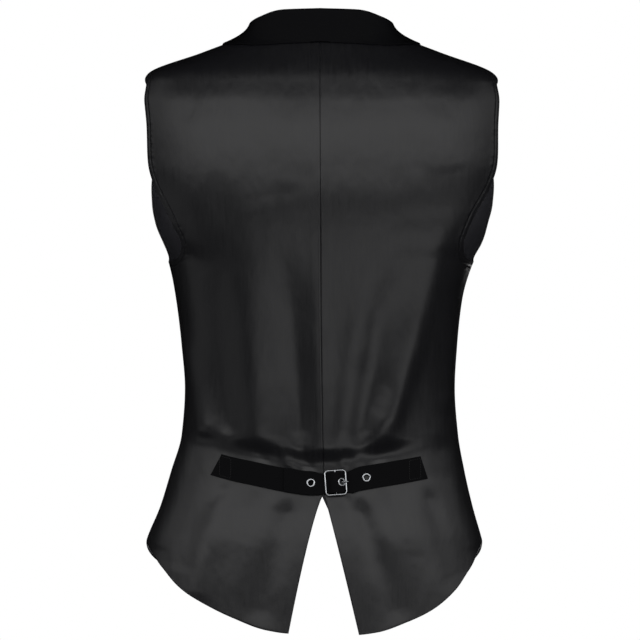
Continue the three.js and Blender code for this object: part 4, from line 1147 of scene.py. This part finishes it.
    # The ground's ribs lie 0.3 mm apart in the cloth and are drawn 1.1 mm apart to show.
    ribs = add(
        tree, "ShaderNodeMath", {0: split.outputs[1], 1: 2 * math.pi / 0.0011}, operation="MULTIPLY"
    )
    ribs = add(tree, "ShaderNodeMath", {0: ribs}, operation="SINE")
    ground = add(tree, "ShaderNodeMath", {0: 1, 1: figure}, operation="SUBTRACT")
    ribbed = add(tree, "ShaderNodeMath", {0: ribs, 1: ground}, operation="MULTIPLY")
    stretched = add(tree, "ShaderNodeMapping", {0: place, "Scale": (520, 60, 1)})
    slubs = add(tree, "ShaderNodeTexNoise", {"Vector": stretched, "Scale": 1, "Detail": 3})
    relief = add(tree, "ShaderNodeMath", {0: ribbed, 1: 0.035, 2: slubs}, operation="MULTIPLY_ADD")
    relief = add(tree, "ShaderNodeMath", {0: relief, 1: 0.5}, operation="MULTIPLY")
    relief = add(tree, "ShaderNodeMath", {0: figure, 1: 0.12, 2: relief}, operation="MULTIPLY_ADD")
    bump = add(tree, "ShaderNodeBump", {"Strength": 0.5, "Distance": MM, "Height": relief})
    rough = add(tree, "ShaderNodeMapRange", {0: figure, 1: 0, 2: 1, 3: 0.6, 4: 0.33})
    return finish(material, figure, "#0b0b0d", "#121215", {
        "Roughness": rough, "IOR": 1.5, "Anisotropic": 0.35, "Tangent": tangent, "Normal": bump,
    })


def barathea_finish():
    """Barathea, the dull broken-rib worsted of dress collars: next to no gloss."""
    material, tree = new_material("black_barathea")
    place = add(tree, "ShaderNodeUVMap", uv_map="cloth")

    # Its pebbles are 0.4 mm across and are drawn 1 mm across to show.
    pebbles = add(tree, "ShaderNodeTexVoronoi", {"Vector": place, "Scale": 1000})
    slack = add(tree, "ShaderNodeTexNoise", {"Vector": place, "Scale": 60, "Detail": 2})
    relief = add(tree, "ShaderNodeMath", {0: pebbles, 1: 0.05, 2: slack}, operation="MULTIPLY_ADD")
    bump = add(tree, "ShaderNodeBump", {"Strength": 0.5, "Distance": MM, "Height": relief})
    return finish(material, pebbles, "#060607", "#08080a", {
        "Roughness": 0.55, "IOR": 1.5, "Specular IOR Level": 0.03, "Normal": bump,
    })


def lining_painted_light_finish():
    """Charcoal acetate lining twill: a softer gloss than the satin. Its pale charcoal is partly
    the lining's own colour and partly painted light, standing in for light through the armholes.
    """
    material, tree = new_material("charcoal_lining_painted_light")
    place = add(tree, "ShaderNodeUVMap", uv_map="cloth")
    stretched = add(tree, "ShaderNodeMapping", {0: place, "Scale": (500, 40, 1)})
    slubs = add(tree, "ShaderNodeTexNoise", {"Vector": stretched, "Scale": 1, "Detail": 3})
    soft = add(tree, "ShaderNodeTexNoise", {"Vector": place, "Scale": 38, "Detail": 2})
    relief = add(tree, "ShaderNodeMath", {0: slubs, 1: 0.03, 2: soft}, operation="MULTIPLY_ADD")
    bump = add(tree, "ShaderNodeBump", {"Strength": 0.8, "Distance": MM, "Height": relief})
    # Painted light: these greys are paler than the lining's own colour, so that its inner faces look lit
    # where light through the armholes would fall.
    return finish(material, slubs, "#323237", "#3d3d43", {
        "Roughness": 0.45, "IOR": 1.48, "Normal": bump,
    })


def belting_finish():
    """Cotton belting: a dense plain weave with no gloss, only a faint nap."""
    material, tree = new_material("black_cotton_belting")
    place = add(tree, "ShaderNodeUVMap", uv_map="cloth")
    split = add(tree, "ShaderNodeSeparateXYZ", {0: place})

    # Cords across the strap lie 0.5 mm apart and are drawn 1.2 mm apart to show.
    cords = add(
        tree, "ShaderNodeMath", {0: split.outputs[1], 1: 2 * math.pi / 0.0012}, operation="MULTIPLY"
    )
    cords = add(tree, "ShaderNodeMath", {0: cords}, operation="SINE")
    fluff = add(tree, "ShaderNodeTexNoise", {"Vector": place, "Scale": 900, "Detail": 3})
    relief = add(tree, "ShaderNodeMath", {0: cords, 1: 0.12, 2: fluff}, operation="MULTIPLY_ADD")
    bump = add(tree, "ShaderNodeBump", {"Strength": 0.6, "Distance": 0.3 * MM, "Height": relief})
    return finish(material, fluff, "#050506", "#0a0a0b", {
        "Roughness": 0.85, "IOR": 1.5, "Specular IOR Level": 0.03, "Normal": bump,
    })


def chrome_finish():
    """Chromed steel wire: a clear mirror, dulled here and there by handling."""
    material, tree = new_material("chromed_steel")
    place = add(tree, "ShaderNodeTexCoord").outputs["Object"]
    rubs = add(tree, "ShaderNodeTexNoise", {"Vector": place, "Scale": 140, "Detail": 2})
    rough = add(tree, "ShaderNodeMapRange", {0: rubs, 1: 0.35, 2: 0.7, 3: 0.1, 4: 0.24})
    return finish(material, rubs, "#d3d5d8", "#b4b7bb", {
        "Metallic": 1, "Roughness": rough,
    })


def button_finish():
    """Cast polyester, polished in a tumbler: glossy, with a faint cloud in its depth."""
    material, tree = new_material("black_polyester_button")
    place = add(tree, "ShaderNodeTexCoord").outputs["Object"]
    cloud = add(tree, "ShaderNodeTexNoise", {"Vector": place, "Scale": 260, "Detail": 2})
    rough = add(tree, "ShaderNodeMapRange", {0: cloud, 1: 0.3, 2: 0.7, 3: 0.16, 4: 0.24})
    return finish(material, cloud, "#0a0a0b", "#1a1a1c", {
        "Roughness": rough, "IOR": 1.55,
    })


def thread_finish():
    """Twisted polyester sewing thread, with a soft lustre."""
    material, tree = new_material("black_sewing_thread")
    place = add(tree, "ShaderNodeTexCoord").outputs["Object"]
    twist = add(tree, "ShaderNodeTexNoise", {"Vector": place, "Scale": 2600, "Detail": 1})
    return finish(material, twist, "#070708", "#0e0e10", {
        "Roughness": 0.45, "IOR": 1.5,
    })


# ------------------------------------------------------------------ sewing
def stitch_tree():
    """Lays one stitch at each point, along its thread and square to the cloth."""
    tree = bpy.data.node_groups.new("stitches", "GeometryNodeTree")
    tree.interface.new_socket("Geometry", in_out="INPUT", socket_type="NodeSocketGeometry")
    tree.interface.new_socket("Thread", in_out="INPUT", socket_type="NodeSocketFloat")
    tree.interface.new_socket("Material", in_out="INPUT", socket_type="NodeSocketMaterial")
    tree.interface.new_socket("Geometry", in_out="OUTPUT", socket_type="NodeSocketGeometry")
    given = add(tree, "NodeGroupInput").outputs
    along = add(tree, "GeometryNodeInputNamedAttribute", {"Name": "along"}, data_type="FLOAT_VECTOR")
    out = add(tree, "GeometryNodeInputNamedAttribute", {"Name": "out"}, data_type="FLOAT_VECTOR")
    length = add(tree, "GeometryNodeInputNamedAttribute", {"Name": "length"}, data_type="FLOAT")
    stitch = add(tree, "GeometryNodeMeshUVSphere", {"Segments": 6, "Rings": 6, "Radius": 0.5})
    turn = add(
        tree, "FunctionNodeAxesToRotation", {0: along, 1: out},
        primary_axis="X", secondary_axis="Z",
    )
    size = add(
        tree, "ShaderNodeCombineXYZ", {0: length, 1: given["Thread"], 2: given["Thread"]}
    )
    laid = add(tree, "GeometryNodeInstanceOnPoints", {
        "Points": given["Geometry"], "Instance": stitch,
        "Rotation": turn, "Scale": size,
    })
    real = add(tree, "GeometryNodeRealizeInstances", {0: laid})
    round_ = add(tree, "GeometryNodeSetShadeSmooth", {0: real})
    finished = add(
        tree, "GeometryNodeSetMaterial", {0: round_, "Material": given["Material"]}
    )
    add(tree, "NodeGroupOutput", {0: finished})
    return tree


def sew(name, tree, stitches, thread, material):
    """Stitches as one mesh. Each is a centre, a direction, the cloth's outward direction and
    a length in mm."""
    mesh = bpy.data.meshes.new(name + "_points")
    mesh.from_pydata([tuple(centre * MM) for centre, _, _, _ in stitches], [], [])
    for key, i in (("along", 1), ("out", 2)):
        layer = mesh.attributes.new(key, "FLOAT_VECTOR", "POINT")
        layer.data.foreach_set("vector", np.array([stitch[i] for stitch in stitches]).ravel())
    layer = mesh.attributes.new("length", "FLOAT", "POINT")
    layer.data.foreach_set("value", np.array([stitch[3] * MM for stitch in stitches]))
    points = bpy.data.objects.new(name + "_points", mesh)
    bpy.context.scene.collection.objects.link(points)
    modifier = points.modifiers.new("sewing", "NODES")
    modifier.node_group = tree
    sockets = {item.name: item.identifier for item in tree.interface.items_tree if item.in_out == "INPUT"}
    modifier[sockets["Thread"]] = thread * MM
    modifier[sockets["Material"]] = material
    evaluated = points.evaluated_get(bpy.context.evaluated_depsgraph_get())
    sewn = bpy.data.objects.new(name, bpy.data.meshes.new_from_object(evaluated))
    bpy.context.scene.collection.objects.link(sewn)
    bpy.data.objects.remove(points)
    return sewn


def along_line(line, pitch, start=0, end=0):
    """Even places along a line of points, with the direction at each."""
    length = steps_along(line[:, None, :], 0)[:, 0]
    at = np.arange(start + pitch / 2, length[-1] - end, pitch)
    places = np.stack([np.interp(at, length, line[:, i]) for i in range(3)], axis=-1)
    return places, unit(np.gradient(places, axis=0))


def surface_of(piece):
    """The faces of a piece, to find the nearest place on them."""
    mesh = piece.data
    faces = [tuple(face.vertices) for face in mesh.polygons]
    return BVHTree.FromPolygons([vertex.co for vertex in mesh.vertices], faces)


def row_of_stitches(piece, line, kind, sunk=0.05):
    """Stitches of a kind laid along a line, each on the nearest cloth of a piece."""
    tree, pitch, share = surface_of(piece), kind["pitch"], kind["share"]
    stitches = []
    for place, direction in zip(*along_line(line, pitch)):
        found, out, _, _ = tree.find_nearest(Vector(place * MM))
        out = np.array(out)
        flat = unit(direction - out * (direction @ out))
        stitches.append((np.array(found) / MM - out * sunk, flat, out, pitch * share))
    return stitches


# ------------------------------------------------------------------ the vest
satin, jacquard = satin_finish(), jacquard_finish()
barathea, lining = barathea_finish(), lining_painted_light_finish()
belting, chrome = belting_finish(), chrome_finish()
polyester, thread = button_finish(), thread_finish()

pieces, armhole_lines = {}, {}
# The inner faces of all four panels take the lining, whose paleness is partly painted light.
for part, panel, outside in (("back", back_panel, satin), ("front", front_panel, jacquard)):
    for side, end in ((1, "left"), (-1, "right")):
        name = f"{part}_{end}"
        pieces[name], armhole_lines[name] = panel(side, [outside, lining])
pieces["collar"] = collar([barathea, barathea])
pieces["strap_left"] = left_strap([belting])
pieces["strap_right"] = right_strap([belting])
pieces["buckle_frame"] = buckle_frame([chrome])
pieces["buckle_prong"] = buckle_prong([chrome])
for number, x in enumerate(EYELETS, 1):
    pieces[f"eyelet_{number}"] = eyelet(number, x, [chrome])
for number in range(BUTTONS["count"]):
    pieces[f"button_{number + 1}"] = button(number, [polyester])

# Lock stitches 3 mm long round the armholes.
sewing_tree = stitch_tree()
stitches = []
for name, line in armhole_lines.items():
    stitches += row_of_stitches(pieces[name], line, ARMHOLE_STITCH)
armhole_sewing = sew(
    "armhole_topstitching", sewing_tree, stitches, ARMHOLE_STITCH["thread"], thread
)

# A box of stitches holds each strap's sewn end to the back.
stitches = []
for piece, inner, outer in ((pieces["strap_left"], 98, 110), (pieces["strap_right"], -95, -107)):
    half, lift = STRAP_WIDTH / 2 - BOX_STITCH["inset"], BOX_STITCH["lift"] + STRAP_THICK / 2
    corners = [(inner, -half), (outer, -half), (outer, half), (inner, half), (inner, -half)]
    for (x0, up0), (x1, up1) in zip(corners, corners[1:]):
        k = np.linspace(0, 1, BOX_STITCH["per_side"])
        line = on_belt(lerp(x0, x1, k), lerp(up0, up1, k), lift)
        stitches += row_of_stitches(piece, line, BOX_STITCH)
belt_sewing = sew("belt_end_stitching", sewing_tree, stitches, BOX_STITCH["thread"], thread)

# Buttonholes run out from under the buttons, with purl stitches packed round a slit.
stitches = []
cloth_tree = surface_of(pieces["front_left"])
for number in range(BUTTONS["count"]):
    centre, out = button_place(number)
    first, second = button_axes(out)
    purls = []
    for i in range(PURL["pairs"]):
        slit = centre + first * (i * PURL["pitch"] + PURL["start"])
        purls += [(slit + second * side * PURL["beside"], second) for side in (-1, 1)]
    for turn in np.radians(np.arange(-75, 76, 15)):
        ahead = first * math.cos(turn) + second * math.sin(turn)
        purls.append((slit + ahead * PURL["round_end"], ahead))
    for place, ahead in purls:
        found, normal, _, _ = cloth_tree.find_nearest(Vector(place * MM))
        stitches.append((np.array(found) / MM, ahead, np.array(normal), PURL["length"]))
buttonhole_sewing = sew("buttonhole_stitching", sewing_tree, stitches, PURL["thread"], thread)

# Each button is sewn on with crossed threads.
stitches = []
for number in range(BUTTONS["count"]):
    centre, out = button_place(number)
    first, second = button_axes(out)
    for turn, lift in ((45, 0.1), (135, 0.3)):
        ahead = first * math.cos(math.radians(turn)) + second * math.sin(math.radians(turn))
        beside = np.cross(out, ahead)
        for shift in (-1, 0, 1):
            place = centre + out * (BUTTON["thick"] - BUTTON_THREAD["sunk"] + lift)
            place = place + beside * (shift * BUTTON_THREAD["apart"])
            stitches.append((place, ahead, out, 2 * BUTTON["spread"] + BUTTON_THREAD["over"]))
button_sewing = sew("button_threads", sewing_tree, stitches, BUTTON_THREAD["thick"], thread)

SLOTS = {"back": "satin", "collar": "barathea", "front": "jacquard", "strap": "belting"}
for node, piece in pieces.items():
    slot = SLOTS.get(node.split("_")[0], "button" if node.startswith("button") else "chrome")
    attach(piece, "root")
    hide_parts(node)
for piece, slot in (
    (armhole_sewing, "satin"), (belt_sewing, "belting"),
    (buttonhole_sewing, "jacquard"), (button_sewing, "jacquard"),
):
    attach(piece, "root")

# ------------------------------------------------------------------ floor, light, camera
floor_mesh = bpy.data.meshes.new("floor")
FLOOR_RADIUS, FLOOR_Z, FLOOR_SIDES = 6, -1.45, 96
rim = [
    (FLOOR_RADIUS * math.cos(a), FLOOR_RADIUS * math.sin(a), FLOOR_Z)
    for a in np.linspace(0, 2 * math.pi, FLOOR_SIDES, endpoint=False)
]
floor_mesh.from_pydata(rim, [], [list(range(FLOOR_SIDES))])
floor = bpy.data.objects.new("floor", floor_mesh)
bpy.context.scene.collection.objects.link(floor)
paper, tree = new_material("pale_paper")
matt = add(tree, "ShaderNodeBsdfPrincipled", {"Base Color": colour("#f4f4f3"), "Roughness": 0.9})
add(tree, "ShaderNodeOutputMaterial", {"Surface": matt})
floor_mesh.materials.append(paper)
floor.visible_glossy = False

world = bpy.data.worlds.new("studio")
world.use_nodes = True
bpy.context.scene.world = world
tree = world.node_tree
tree.nodes.clear()
ray = add(tree, "ShaderNodeLightPath")
dim = add(tree, "ShaderNodeMapRange", {0: ray.outputs["Is Glossy Ray"], 1: 0, 2: 1, 3: 1, 4: 0.002})
sky = add(tree, "ShaderNodeBackground", {"Color": (1, 1, 1, 1), "Strength": dim})
add(tree, "ShaderNodeOutputWorld", {"Surface": sky})


CENTRE = Vector((0.0016, 0, -0.3115))


def soft_light(name, place, size, watts):
    """A rectangular soft box aimed at the middle of the vest, hidden from the camera."""
    light = bpy.data.lights.new(name, "AREA")
    light.shape = "RECTANGLE"
    light.size, light.size_y = size
    light.energy = watts
    lamp = bpy.data.objects.new(name, light)
    lamp.location = place
    lamp.rotation_euler = (CENTRE - Vector(place)).to_track_quat("-Z", "Y").to_euler()
    lamp.visible_camera = False
    bpy.context.scene.collection.objects.link(lamp)


soft_light("back_softbox", (0, 2.47, 1), (8, 1.7), 57)
soft_light("back_fill", (-0.93, 2.57, -0.89), (3.8, 1), 12)
soft_light("left_softbox", (2.51, 0.35, 0.87), (2.2, 1.5), 6.2)
soft_light("right_softbox", (-2.51, 0.35, 0.87), (2.2, 1.5), 6.2)
soft_light("left_fill", (2.65, 0.71, -0.89), (2.4, 1.2), 2.7)
soft_light("front_softbox", (-0.45, -2.6, -1.27), (1.6, 1.4), 12)

camera = bpy.data.objects.new("camera", bpy.data.cameras.new("camera"))
SENSOR, CAMERA_FAR, VIEW_WIDTH = 36, 12, 0.6986  # mm, m, and the width in m that it sees
camera.data.lens = SENSOR * CAMERA_FAR / VIEW_WIDTH
camera.data.sensor_width = SENSOR
camera.data.clip_start, camera.data.clip_end = 1, 80
camera.location = CENTRE + Vector((0, CAMERA_FAR, 0))
camera.rotation_euler = (math.pi / 2, 0, math.pi)
bpy.context.scene.collection.objects.link(camera)
bpy.context.scene.camera = camera
bpy.context.scene.view_settings.view_transform = "Standard"
